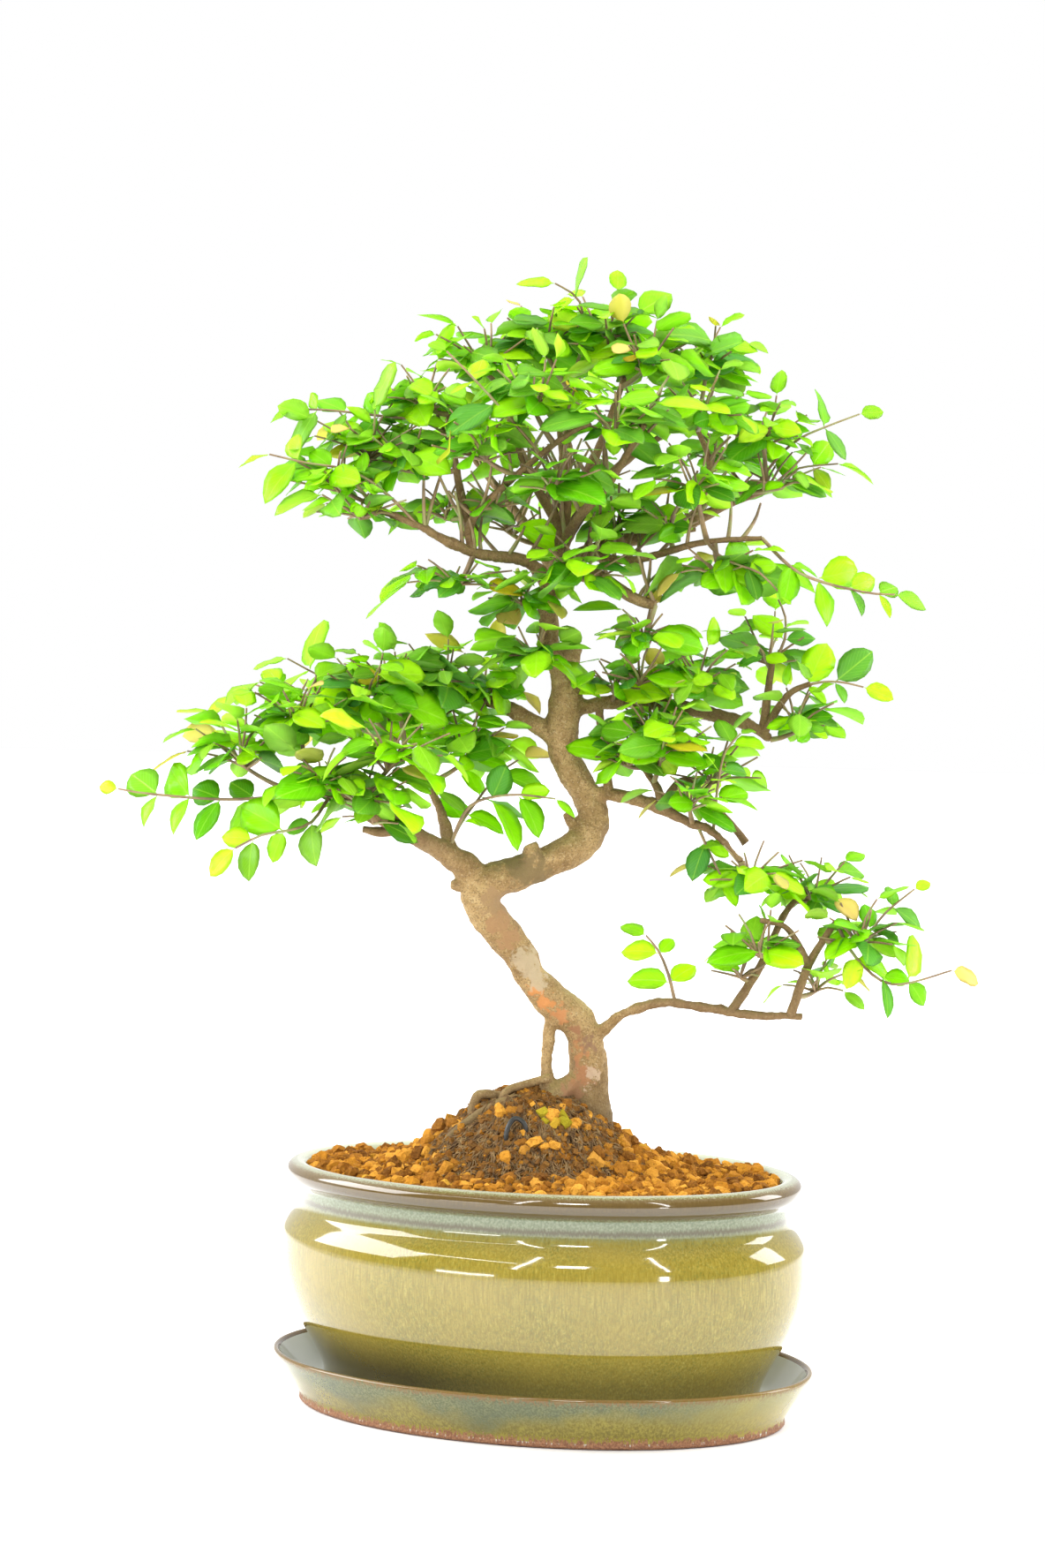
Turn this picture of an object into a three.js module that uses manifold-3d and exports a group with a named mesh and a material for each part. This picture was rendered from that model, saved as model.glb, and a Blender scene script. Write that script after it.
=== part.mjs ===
// Sageretia bonsai in an oval glazed pot on its tray, in millimetres, +Z up.
// The origin is the middle of the tray's flat underside, with the pot's long side along X.
import * as THREE from 'three';
import { mergeVertices } from 'three/addons/utils/BufferGeometryUtils.js';
import Module from 'manifold-3d';

const wasm = await Module();
wasm.setup();

// Driving dimensions
const rimHalfLength = 109; // outer rim of the pot, half along X
const rimHalfWidth = 76; // and half along Y
const potSeat = 6.3; // height of the pot's foot over the table
const potFloor = 17; // height of the floor inside the pot
const ovalSides = 28;
const holeRadius = 8; // drainage holes
const holeOffset = 46;
const meshSide = 26; // plastic mesh over each drainage hole
const meshThickness = 0.9;
const trayHalfLength = 114;
const trayHalfWidth = 81;
const trayFloor = 6;
const seatGap = 0.3; // between pieces that touch
const frontTurn = THREE.MathUtils.degToRad(24); // the tree's front against the pot's long side
const soilLevel = 95.2; // grains at the pot's wall
const moundHeight = 33.8; // how far the root ball stands over that
const moundSpread = 41;
const moundEdge = 2.6; // a higher power has a flatter top and a steeper edge
const moundMiddle = [-5, 0];
const grainHeight = 1.4;
const rootBallFoot = 36; // height of the root ball's underside
const barkGap = 0.3; // kept between the trunk and what stands near it
const leafLength = [10.5, 16]; // shortest and longest blade
const leafWidth = 0.6; // share of its length
const leafThickness = 1.2; // at the midrib
const leafDroop = 0.14; // share of its length that the tip hangs
const pairSpacing = 9.5; // from one pair of leaves to the next along a shoot
const longShootSpacing = 12.5;
const longShootFace = [0, -1, 0.5]; // the leaves of a long shoot open towards the tree's front
const leafBase = 1.1; // half the length of shoot that a leaf grows from
const sunward = 0.55; // how much the blades face away from their pad's middle
const faceTilt = 0.75; // most that a blade rolls to face its light, in radians
const leafEdge = [[0.3, -0.43], [0.66, -0.42], [1, 0], [0.66, 0.42], [0.3, 0.43]]; // [length, width] shares
const shootRadius = 0.8; // at the shoot's root
const shootTip = 0.65;
const sunkRadii = [0.45, 0.4, 0.5, 0.35, 0.55]; // where a side shoot starts inside its stem
const stemRadius = 1.3;
const shootsInPad = 12; // a full pad of foliage
const shootStep = 7; // the shoots made here are picked so far apart
const shootsMade = 2;
const sharpestBend = 1.1; // between a stem and the shoot that continues it, in radians
const enoughRoom = 2.2; // between a new stem and what is there
const sampleStep = 3;
const clearSides = 6; // of the tube that is kept clear round a twig
const twigRoom = 0.5;
const closeCorners = 0.01;
const stemBows = [[0, 0, -0.12], [0, 0, 0.15], [0.15, 0, 0], [-0.15, 0, 0], [0, 0.15, 0], [0, -0.15, 0]];
const goldenAngle = Math.PI * (3 - Math.sqrt(5));

// Heights and outsets of the pot's outline: [z, outset from the rim's outline]
const potOutside = [
  [potSeat, -15], [11, -16], [19, -14], [36, -4], [50, 1.2], [63, 2.4], [71.9, 1.2],
  [79.7, -4.2], [88.6, -4.2], [94.2, 0],
];
const potInside = [
  [98.7, -4], [97.2, -8.4], [80.8, -11], [64, -5.5], [36, -10], [potFloor, -24],
];
const potUnderside = [[10, -24], [potSeat, -22.5]];
const trayOutline = [[0, -10], [3, -11.2], [13, -4.4], [21, 0], [21.6, -2.6], [12, -8], [trayFloor, -14]];

// Trunk, roots and branches, as seen from the tree's front: [x, depth, z, radius]
const limbs = {
  trunk: [
    [20, 5, 104, 9.8], [20, 5, 117, 9.2], [19, 5, 127, 8.6], [19, 5, 138, 8], [18, 5, 147, 7.3],
    [15, 4, 156, 7.2],
    [9, 3, 162, 7.4], [2, 2, 168, 7.5], [-5, 1, 176, 6.4], [-9, 0, 184, 6.7], [-17, -2, 194, 7.3],
    [-24, -4, 203, 7.2],
    [-26, -5, 211, 7.3], [-20, -5, 215, 7.4], [-10, -4, 218, 6.9], [2, -2, 223, 6.6],
    [14, 1, 229, 7], [20, 4, 239, 6.4],
    [17, 5, 249, 5.9], [12, 4, 257, 6], [8, 3, 265, 6.4], [7, 2, 276, 6.8], [8, 2, 287, 6.7],
    [8, 2, 296, 6],
    [5, 2, 303, 4.8], [1, 2, 310, 4.3], [1, 1, 319, 4], [0, 0, 326, 3.9], [2, 0, 335, 3.7],
  ],
  topStub: [[9, 2, 294, 4.6], [10, 2, 304, 4], [11, 2, 311, 3.7]],
  propRoot: [
    [5, 2, 162, 3.4], [3, 1, 155, 2.6], [2, 0, 146, 2.3], [2, -1, 137, 2.6], [2, -2, 128, 3.2],
    [1, -3, 118, 3.6],
  ],
  leftRoot: [[14, 2, 134, 4], [9, -1, 131, 4.2], [4, -5, 127, 3.8], [-1, -9, 119, 3]],
  rightRoot: [[21, 3, 134, 4.5], [24, 2, 128, 3], [24, 1, 120, 2.6], [25, 0, 110, 2.2]],
  nearArch: [
    [3, -3, 135, 2.2], [-2, -5, 134, 1.7], [-13, -9, 131, 1.6], [-16, -10, 127, 1.6],
    [-18, -11, 117, 1.6],
  ],
  farArch: [
    [-1, -4, 122, 2.6], [-10, -4, 126, 2], [-23, -8, 129, 1.9], [-27, -9, 126, 2],
    [-29, -9, 112, 1.8],
  ],
  slopeRoot: [
    [-3, -8, 126, 2.8], [-12, -11, 127, 2.3], [-19, -12, 124.7, 2.1], [-27, -14, 120, 2],
    [-36, -16, 113, 1.8], [-40, -17, 107, 1.5],
  ],
  backRoot: [[17, 10, 132, 4.2], [20, 20, 120, 3.4], [21, 28, 110, 2.6], [22, 36, 97, 2]],
  junctionStub: [[-26, -6, 212, 3.6], [-33, -8, 213, 2.6], [-37, -9, 213, 2]],
  trunkKnob: [[-5, -6, 220, 4.6], [-5, -8, 227, 3.8], [-6, -8, 230, 3.2]],
  innerSpur: [[14, 3, 234, 3.4], [10, 3, 239, 2.2], [8, 3, 242, 1.2]],
  leftLow: [
    [-26, -5, 212, 6.4], [-31, -7, 220, 6], [-36, -10, 224, 5], [-51, -18, 233, 3.8],
    [-59, -22, 238, 3.4],
    [-64, -25, 246, 2.8], [-77, -30, 252, 2.3], [-95, -34, 250, 1.6],
  ],
  leftHigh: [
    [6, 2, 271, 5], [-1, 4, 276, 3.9], [-18, 14, 285, 2.8], [-39, 26, 288, 2], [-68, 34, 283, 1.4],
  ],
  leftUp: [[-37, -11, 225, 3.4], [-41, -6, 240, 2.2], [-46, -2, 251, 1.8], [-60, 2, 270, 1.2]],
  leftFront: [[-57, -21, 237, 2.8], [-66, -32, 241, 2.2], [-75, -42, 249, 1.8], [-90, -51, 256, 1.2]],
  leftSpur: [[-57, -21, 237, 2.6], [-65, -24, 235, 2.2], [-72, -26, 236, 1.3]],
  rightHigh: [
    [9, 2, 284, 4], [17, 4, 285, 3.3], [29, 7, 287, 3], [48, 12, 286, 3], [68, 15, 282, 3.1],
    [85, 17, 277, 2.5],
    [92, 17, 272, 1.6],
  ],
  rightUp: [[89, 17, 275, 2.2], [90, 17, 286, 1.7], [92, 15, 304, 1.3]],
  rightOut: [[89, 17, 275, 2], [98, 12, 290, 1.3], [107, 8, 295, 1.1]],
  rightLink: [[22, 6, 286, 2], [22, 5, 280, 1.7], [24, 3, 267, 1.6], [26, -1, 249, 2.2]],
  rightLow: [
    [18, 4, 248, 3.8], [25, 1, 250, 2.8], [37, -7, 248, 2.7], [46, -12, 245, 2.8], [57, -18, 240, 2],
    [67, -24, 236, 1.7],
    [78, -30, 225, 1.1],
  ],
  rightLowUp: [[47, -12, 244, 2.2], [45, -10, 253, 1.7], [38, -4, 263, 1.1]],
  rightMid: [[47, -12, 245, 2], [56, -8, 256, 1.5], [71, -6, 243, 1.3], [81, -6, 231, 1.8]],
  baseBranch: [
    [18, 4, 148, 3.6], [24, 2, 154, 2.7], [32, -4, 161, 2.2], [47, -13, 167, 2], [65, -21, 166, 2],
    [82, -27, 164, 2],
    [103, -32, 164, 1.7],
  ],
  baseUpNear: [[75, -25, 165, 2], [87, -22, 184, 1.6], [96, -16, 203, 1.3], [106, -11, 214, 1]],
  baseUpFar: [[98, -31, 164, 2], [105, -33, 185, 1.7], [115, -36, 202, 1.2]],
  baseInward: [[105, -33, 184, 1.6], [96, -40, 199, 1.2], [85, -45, 203, 1]],
  crownLeader: [[2, 0, 332, 3.7], [6, 3, 353, 2.9], [8, 7, 381, 2], [8, 8, 413, 1.2]],
  crownLeft: [
    [2, 0, 330, 3.6], [-3, -4, 339, 2.8], [-11, -9, 344, 2.5], [-29, -18, 346, 2.3],
    [-51, -28, 356, 1.8], [-68, -34, 363, 1.2],
  ],
  crownLeftUp: [[-30, -18, 346, 2.2], [-32, -18, 358, 1.8], [-36, -15, 376, 1.6], [-40, -12, 401, 1.1]],
  crownDiagonal: [[-32, -18, 353, 1.9], [-26, -26, 364, 1.6], [2, -46, 388, 1.2], [16, -50, 396, 1]],
  crownStubLimb: [
    [3, 0, 330, 3.2], [7, -3, 335, 3], [17, -8, 339, 2.8], [34, -15, 329, 2.4], [43, -18, 326, 2.1],
  ],
  crownRight: [
    [4, 1, 340, 3.2], [13, 6, 346, 3.1], [34, 15, 353, 3.1], [54, 22, 358, 2.6], [74, 27, 368, 1.8],
    [90, 30, 374, 1.2],
  ],
  crownCutEnd: [[50, 21, 357, 2.9], [60, 22, 359, 2.7]],
  crownRightLow: [[15, 7, 347, 2.4], [34, -4, 344, 1.7], [61, -14, 351, 1.3], [85, -19, 353, 1]],
  crownRightUp: [[60, 23, 360, 1.9], [66, 18, 382, 1.4], [60, 12, 398, 1]],
  crownBackLeft: [[4, 2, 338, 3], [-3, 16, 349, 2.5], [-13, 32, 364, 2], [-37, 52, 395, 1.1]],
  crownBackRight: [[6, 3, 350, 2.6], [16, 22, 366, 2.2], [29, 40, 383, 1.8], [55, 56, 402, 1.1]],
  crownBack: [[7, 4, 361, 2.2], [7, 24, 377, 1.9], [4, 54, 408, 1.1]],
  crownFront: [[6, 2, 349, 2.4], [12, -16, 360, 2], [24, -32, 374, 1.7], [37, -46, 396, 1.1]],
  crownMidLeft: [[6, 3, 356, 2.2], [-3, -4, 370, 1.9], [-12, -8, 387, 1.6], [-18, -8, 412, 1.1]],
  crownMidRight: [[7, 5, 368, 2.1], [17, 2, 381, 1.8], [30, -4, 416, 1.1]],
};

// The coated wire that holds the root ball down, where it loops out of the soil
const wireRadius = 1;
const wireRoute = [
  [-14.5, -27, 106], [-14.2, -30.5, 114.5], [-13.2, -30.5, 119], [-11, -29, 121.8], [-8.5, -28.6, 121.3],
  [-6.5, -28.4, 118.5], [-5.6, -26, 109],
];

// Foliage pads: [node, middle of the pad, half sizes], each filled by shoots from one stem
const pads = [
  ['spray_crown_far_left', [-72, -16, 394], [26, 16, 11]],
  ['spray_crown_left_tip', [-86, -32, 377], [20, 16, 12]],
  ['spray_crown_left_low', [-74, -38, 363], [19, 15, 10]],
  ['spray_crown_left', [-59, -20, 385], [18, 20, 14]],
  ['spray_crown_left_top', [-49, -12, 410], [18, 22, 14]],
  ['spray_crown_top_left', [-27, -4, 427], [20, 22, 14]],
  ['spray_crown_top', [-2, 6, 435], [19, 22, 14]],
  ['spray_crown_peak', [22, 8, 440], [17, 22, 14]],
  ['spray_crown_front_top', [-7, -42, 410], [20, 20, 14]],
  ['spray_crown_front_left', [-27, -46, 390], [20, 18, 14]],
  ['spray_crown_top_right', [39, -14, 427], [18, 22, 14]],
  ['spray_crown_right_top', [64, 16, 428], [18, 22, 14]],
  ['spray_crown_right', [61, -20, 406], [19, 22, 14]],
  ['spray_crown_right_out', [88, 22, 400], [17, 20, 14]],
  ['spray_crown_right_tip', [96, 26, 380], [17, 18, 12]],
  ['spray_crown_front_right', [58, -38, 378], [19, 18, 14]],
  ['spray_crown_front', [24, -46, 399], [19, 18, 15]],
  ['spray_crown_front_low', [4, -50, 374], [18, 16, 14]],
  ['spray_crown_underside', [14, -30, 342], [20, 18, 14]],
  ['spray_crown_under_left', [-36, -22, 336], [22, 16, 10]],
  ['spray_crown_under_right', [69, -14, 341], [22, 16, 10]],
  ['spray_crown_back_left', [-32, 46, 400], [23, 20, 16]],
  ['spray_crown_back_top', [1, 48, 420], [21, 22, 15]],
  ['spray_crown_back_right', [42, 54, 410], [22, 20, 15]],
  ['spray_crown_back_out', [74, 52, 393], [19, 20, 14]],
  ['spray_crown_back_low', [13, 46, 378], [22, 20, 14]],
  ['spray_crown_hanging', [38, -18, 315], [13, 13, 11]],
  ['spray_left_tip', [-122, -36, 270], [20, 18, 15]],
  ['spray_left_top_out', [-97, -34, 284], [20, 20, 14]],
  ['spray_left_top', [-72, -22, 292], [20, 20, 14]],
  ['spray_left_top_in', [-45, -2, 299], [19, 20, 14]],
  ['spray_left_front', [-58, -52, 271], [22, 16, 14]],
  ['spray_left_low', [-72, -46, 253], [24, 18, 13]],
  ['spray_left_inner', [-30, 4, 272], [18, 20, 17]],
  ['spray_left_back', [-66, 34, 280], [26, 20, 15]],
  ['spray_leader', [-5, -12, 308], [11, 13, 11]],
  ['spray_right_top_in', [38, -8, 302], [18, 18, 13]],
  ['spray_right_top', [62, 8, 299], [17, 20, 13]],
  ['spray_right_top_out', [90, 20, 310], [19, 20, 15]],
  ['spray_right_out', [104, 12, 283], [13, 15, 14]],
  ['spray_right_front', [46, -24, 274], [21, 17, 15]],
  ['spray_right_low', [68, 0, 262], [21, 20, 13]],
  ['spray_base_left', [82, -28, 221], [21, 18, 14]],
  ['spray_base_top', [108, -16, 215], [17, 18, 14]],
  ['spray_base_right', [125, -38, 199], [17, 16, 13]],
  ['spray_base_front', [84, -44, 195], [16, 15, 14]],
];

// Long single shoots that reach out past the pads: [node, points from the branch to the tip]
const longShoots = [
  ['shoot_left_long', [[-95, -34, 250], [-124, -40, 248], [-154, -45, 250], [-167, -46, 252]]],
  ['shoot_crown_trailing', [[85, -19, 353], [100, -26, 339], [124, -30, 332], [137, -31, 331]]],
  ['shoot_base_long', [[115, -36, 202], [123, -39, 188], [137, -42, 178], [160, -45, 184]]],
  ['shoot_base_near', [[53, -16, 167], [50, -15, 179], [46, -14, 188], [41, -13, 194]]],
  ['shoot_left_inner', [[-38, -11, 228], [-30, -14, 245], [-14, -20, 250], [4, -28, 249]]],
  ['shoot_crown_top', [[8, 8, 413], [13, 3, 430], [12, -3, 447], [2, -6, 454]]],
];

// Triangles and solids

function solidFrom(points, triangles) {
  const vertProperties = new Float32Array(points.flat());
  const triVerts = new Uint32Array(triangles.flat());
  return new wasm.Manifold(new wasm.Mesh({ numProp: 3, vertProperties, triVerts }));
}

function geometryOf(solid) {
  const mesh = solid.getMesh();
  const geometry = new THREE.BufferGeometry();
  geometry.setAttribute('position', new THREE.BufferAttribute(mesh.vertProperties, 3));
  geometry.setIndex(new THREE.BufferAttribute(mesh.triVerts, 1));
  return geometry;
}

function solidOf(geometry) {
  geometry.deleteAttribute('normal');
  geometry.deleteAttribute('uv');
  const merged = mergeVertices(geometry);
  const vertProperties = new Float32Array(merged.attributes.position.array);
  const triVerts = new Uint32Array(merged.index.array);
  return new wasm.Manifold(new wasm.Mesh({ numProp: 3, vertProperties, triVerts }));
}

function largestBody(solid) {
  const bodies = solid.decompose();
  return bodies.reduce((best, body) => (body.volume() > best.volume() ? body : best));
}

// Corners that all but touch would merge and leave the surface open
function hasNoCloseCorners(solid) {
  const { vertProperties } = solid.getMesh();
  const corners = [];
  for (let i = 0; i < vertProperties.length; i += 3) {
    const corner = new THREE.Vector3(...vertProperties.slice(i, i + 3));
    if (corners.some((other) => other.distanceTo(corner) < closeCorners)) return false;
    corners.push(corner);
  }
  return true;
}

// A skin over rings of points; each end closes by a fan, from its middle where that is given
function skin(rings, startMiddle, endMiddle) {
  const count = rings[0].length;
  const points = rings.flat();
  const last = points.length - count;
  const triangles = [];
  for (let i = 0; i < last; i += count) {
    for (let j = 0; j < count; j += 1) {
      const k = (j + 1) % count;
      triangles.push([i + j, i + k, i + count + k], [i + j, i + count + k, i + count + j]);
    }
  }
  for (const [first, middle, flip] of [[0, startMiddle, true], [last, endMiddle, false]]) {
    const hub = middle ? points.push(middle) - 1 : first;
    for (let j = middle ? 0 : 1; j < count - (middle ? 0 : 1); j += 1) {
      const [one, other] = [first + j, first + ((j + 1) % count)];
      triangles.push(flip ? [hub, other, one] : [hub, one, other]);
    }
  }
  return solidFrom(points, triangles);
}

function ovalRing(z, halfLength, halfWidth) {
  return Array.from({ length: ovalSides }, (_, j) => {
    const angle = (j / ovalSides) * 2 * Math.PI;
    return [halfLength * Math.cos(angle), halfWidth * Math.sin(angle), z];
  });
}

// Pottery

function potRings(outline, grow = 0) {
  return outline.map(([z, outset]) => {
    const reach = outset + grow;
    return ovalRing(z, rimHalfLength + reach, rimHalfWidth + reach);
  });
}

function potSolid() {
  const rings = potRings([...potUnderside, ...potOutside, ...potInside]);
  let pot = skin(rings, [0, 0, potUnderside[0][0]], [0, 0, potFloor]);
  for (const side of [-1, 1]) {
    const hole = new THREE.CylinderGeometry(holeRadius, holeRadius, 2 * potFloor, 16);
    hole.rotateX(Math.PI / 2);
    hole.translate(side * holeOffset, 0, potFloor);
    pot = pot.subtract(solidOf(hole));
  }
  return pot;
}

function traySolid() {
  const ringFor = ([z, outset]) => ovalRing(z, trayHalfLength + outset, trayHalfWidth + outset);
  return skin(trayOutline.map(ringFor), [0, 0, 0], [0, 0, trayFloor]);
}

function drainageMeshSolid() {
  const block = (side, height) => new THREE.BoxGeometry(side, side, height);
  const bar = meshSide / 13;
  let plate = solidOf(block(meshSide, meshThickness));
  for (const column of [-1, 0, 1]) {
    for (const row of [-1, 0, 1]) {
      const hole = block(3 * bar, 3 * meshThickness);
      hole.translate(4 * bar * column, 4 * bar * row, 0);
      plate = plate.subtract(solidOf(hole));
    }
  }
  return plate;
}

// Soil and root ball

const turnCos = Math.cos(frontTurn);
const turnSin = Math.sin(frontTurn);
const turned = ([x, y, z]) => [turnCos * x - turnSin * y, turnSin * x + turnCos * y, z];
const turnedBack = (x, y) => [turnCos * x + turnSin * y, turnCos * y - turnSin * x];

function turnedSolid(solid) {
  const { vertProperties, triVerts } = solid.getMesh();
  const points = new Float32Array(vertProperties.length);
  for (let i = 0; i < points.length; i += 3) points.set(turned(vertProperties.slice(i, i + 3)), i);
  return new wasm.Manifold(new wasm.Mesh({ numProp: 3, vertProperties: points, triVerts }));
}

function groundHeight(x, y) {
  const reach = Math.hypot(x - moundMiddle[0], 1.1 * (y - moundMiddle[1]));
  const rise = moundHeight * Math.exp(-((reach / moundSpread) ** moundEdge));
  const rows = Math.sin(0.46 * x + 1.7 * Math.sin(0.33 * y));
  const columns = Math.sin(0.51 * y + 1.9 * Math.sin(0.37 * x));
  return soilLevel + rise + grainHeight * rows * columns;
}

function rootBallSolid(grow, lift, place = (point) => point) {
  const sides = 18;
  const ring = (halfLength, halfWidth, height) => Array.from({ length: sides }, (_, j) => {
    const angle = (j / sides) * 2 * Math.PI;
    const x = moundMiddle[0] + (halfLength + grow) * Math.cos(angle);
    const y = moundMiddle[1] + (halfWidth + grow) * Math.sin(angle);
    return place([x, y, height ?? groundHeight(x, y) + lift]);
  });
  const foot = rootBallFoot - grow;
  const buried = [ring(36, 28, foot), ring(46, 35, 62)];
  const mound = [ring(41, 32), ring(31, 24), ring(21, 16), ring(10, 8)];
  const [x, y] = moundMiddle;
  return skin([...buried, ...mound], place([x, y, foot]), place([x, y, groundHeight(x, y) + lift]));
}

function soilSolid() {
  const wall = potInside.slice(2).reverse();
  const rings = potRings(wall, -seatGap);
  rings[0] = rings[0].map(([x, y]) => [x, y, potFloor + seatGap]);
  for (const share of [0.99, 0.9, 0.78, 0.66, 0.54, 0.43, 0.32]) {
    const [halfLength, halfWidth] = [share * (rimHalfLength - 10), share * (rimHalfWidth - 10)];
    const ring = ovalRing(0, halfLength, halfWidth);
    rings.push(ring.map(([x, y]) => [x, y, groundHeight(...turnedBack(x, y))]));
  }
  let soil = skin(rings, [0, 0, potFloor + seatGap], [0, 0, groundHeight(0, 0)]);
  for (const side of [-1, 1]) {
    const room = new THREE.BoxGeometry(meshSide + 1, meshSide + 1, 2 * (meshThickness + 2 * seatGap));
    room.translate(side * holeOffset, 0, potFloor + seatGap);
    soil = soil.subtract(solidOf(room));
  }
  return soil.subtract(rootBallSolid(seatGap, 12, turned));
}

// Round limbs

function tube(points, sides, grow = 0) {
  const centres = points.map(([x, y, z]) => new THREE.Vector3(x, y, z));
  let across = new THREE.Vector3(0.05, 0.1, 1);
  const rings = centres.map((centre, i) => {
    const before = centres[Math.max(i - 1, 0)];
    const after = centres[Math.min(i + 1, centres.length - 1)];
    const along = after.clone().sub(before).normalize();
    across = across.clone().addScaledVector(along, -across.dot(along)).normalize();
    const third = along.clone().cross(across);
    const radius = points[i][3] + grow;
    return Array.from({ length: sides }, (_, j) => {
      const angle = (j / sides) * 2 * Math.PI;
      const point = centre.clone().addScaledVector(across, radius * Math.cos(angle));
      return point.addScaledVector(third, radius * Math.sin(angle)).toArray();
    });
  });
  return skin(rings);
}

function limbSides(points) {
  const thickest = points[0][3];
  if (thickest > 6.5) return 8;
  return thickest > 3.1 ? 5 : 4;
}

function trunkSolid(grow = 0) {
  const tubes = Object.values(limbs).map((points) => tube(points, limbSides(points), grow));
  return wasm.Manifold.union(tubes);
}

function wireSolid(grow = 0) {
  return tube(wireRoute.map((point) => [...point, wireRadius]), 6, grow);
}

// Foliage: the same rule fills every pad

function randomSeries(seed) {
  let state = (seed * 2654435761 + 12345) >>> 0;
  return () => {
    state = (Math.imul(state, 1664525) + 1013904223) >>> 0;
    return state / 4294967296;
  };
}

// Points every few millimetres along the limbs, with the limb's radius there
const limbSamples = Object.values(limbs).flatMap((points) => points.slice(1).flatMap((end, i) => {
  const start = points[i];
  const from = new THREE.Vector3(...start);
  const to = new THREE.Vector3(end[0], end[1], end[2]);
  const count = Math.ceil(from.distanceTo(to) / sampleStep);
  return Array.from({ length: count }, (_, k) => {
    const share = (k + 1) / count;
    return { point: from.clone().lerp(to, share), radius: THREE.MathUtils.lerp(start[3], end[3], share) };
  });
}));
const rootSpots = limbSamples.filter(({ point, radius }) => point.z > 140 && radius < 6.9);
const stemSamples = [];

function bentPath(start, end, bow, pieces) {
  const middle = start.clone().add(end).multiplyScalar(0.5).add(bow);
  return new THREE.QuadraticBezierCurve3(start, middle, end).getPoints(pieces);
}

function samplesOf(path) {
  return path.slice(1).flatMap((end, i) => [1, 2, 3, 4].map((k) => path[i].clone().lerp(end, k / 4)));
}

// The room between a stem, past its root, and the limbs and stems that are there already
function roomAround(samples, root) {
  const free = samples.filter((point) => point.distanceTo(root.point) > root.radius + 4);
  let room = Infinity;
  for (const point of free) {
    for (const limb of limbSamples) room = Math.min(room, point.distanceTo(limb.point) - limb.radius);
  }
  for (const point of samples) {
    for (const other of stemSamples) room = Math.min(room, point.distanceTo(other) - stemRadius);
  }
  return room;
}

// A stem from the limb below the pad to the pad's heart: the nearest root and bend that leave room
function padStem(middle, half) {
  const heart = new THREE.Vector3(middle[0], middle[1], middle[2] - 0.45 * half[2]);
  const costOf = ({ point }) => point.distanceTo(heart) + 0.6 * Math.max(0, point.z - heart.z);
  const roots = rootSpots.filter(({ point }) => point.distanceTo(heart) < 75);
  roots.sort((one, other) => costOf(one) - costOf(other));
  let [best, bestRoom] = [null, -Infinity];
  for (const root of roots.slice(0, 40)) {
    for (const [x, y, z] of stemBows) {
      const bow = new THREE.Vector3(x, y, z).multiplyScalar(root.point.distanceTo(heart));
      const path = bentPath(root.point, heart, bow, 3);
      const room = roomAround(samplesOf(path), root);
      if (room > bestRoom) [best, bestRoom] = [path, room];
      if (bestRoom > enoughRoom) break;
    }
    if (bestRoom > enoughRoom) break;
  }
  stemSamples.push(...samplesOf(best));
  return best;
}

function padShoot(middle, half, stem, index, random) {
  const level = 1 - (1.55 * (index + 0.5)) / shootsInPad;
  const flat = Math.sqrt(1 - level * level);
  const angle = goldenAngle * index + random();
  const reach = 0.82 + 0.26 * random();
  const tip = new THREE.Vector3(
    middle[0] + half[0] * reach * flat * Math.cos(angle),
    middle[1] + half[1] * reach * flat * Math.sin(angle),
    middle[2] + half[2] * reach * level,
  );
  const start = stem[2].clone().lerp(stem[3], 0.25 + 0.75 * random());
  const bow = new THREE.Vector3(random() - 0.5, random() - 0.5, 0.7 * random()).multiplyScalar(5);
  return bentPath(start, tip, bow, 2);
}

const lengthOf = (path) => path.slice(1).reduce((sum, point, i) => sum + point.distanceTo(path[i]), 0);

function pointAlong(path, distance) {
  let left = distance;
  for (let i = 1; i < path.length; i += 1) {
    const step = path[i].distanceTo(path[i - 1]);
    if (left <= step) return path[i - 1].clone().lerp(path[i], left / step);
    left -= step;
  }
  return path[path.length - 1];
}

// A three-cornered ring round a twig, with the first corner on top
function ringRound(centre, along, top, radius) {
  const up = top.clone().addScaledVector(along, -top.dot(along)).normalize();
  const aside = along.clone().cross(up);
  const corners = [0, 1, 2].map((j) => centre.clone()
    .addScaledVector(up, radius * Math.cos((j * 2 * Math.PI) / 3))
    .addScaledVector(aside, radius * Math.sin((j * 2 * Math.PI) / 3)));
  return { centre, along, up, aside, corners };
}

function ringAt(path, length, distance, top) {
  const before = pointAlong(path, Math.max(0, distance - 1));
  const after = pointAlong(path, Math.min(length, distance + 1));
  const radius = THREE.MathUtils.lerp(shootRadius, shootTip, distance / length);
  return ringRound(pointAlong(path, distance), after.clone().sub(before).normalize(), top, radius);
}

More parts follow.
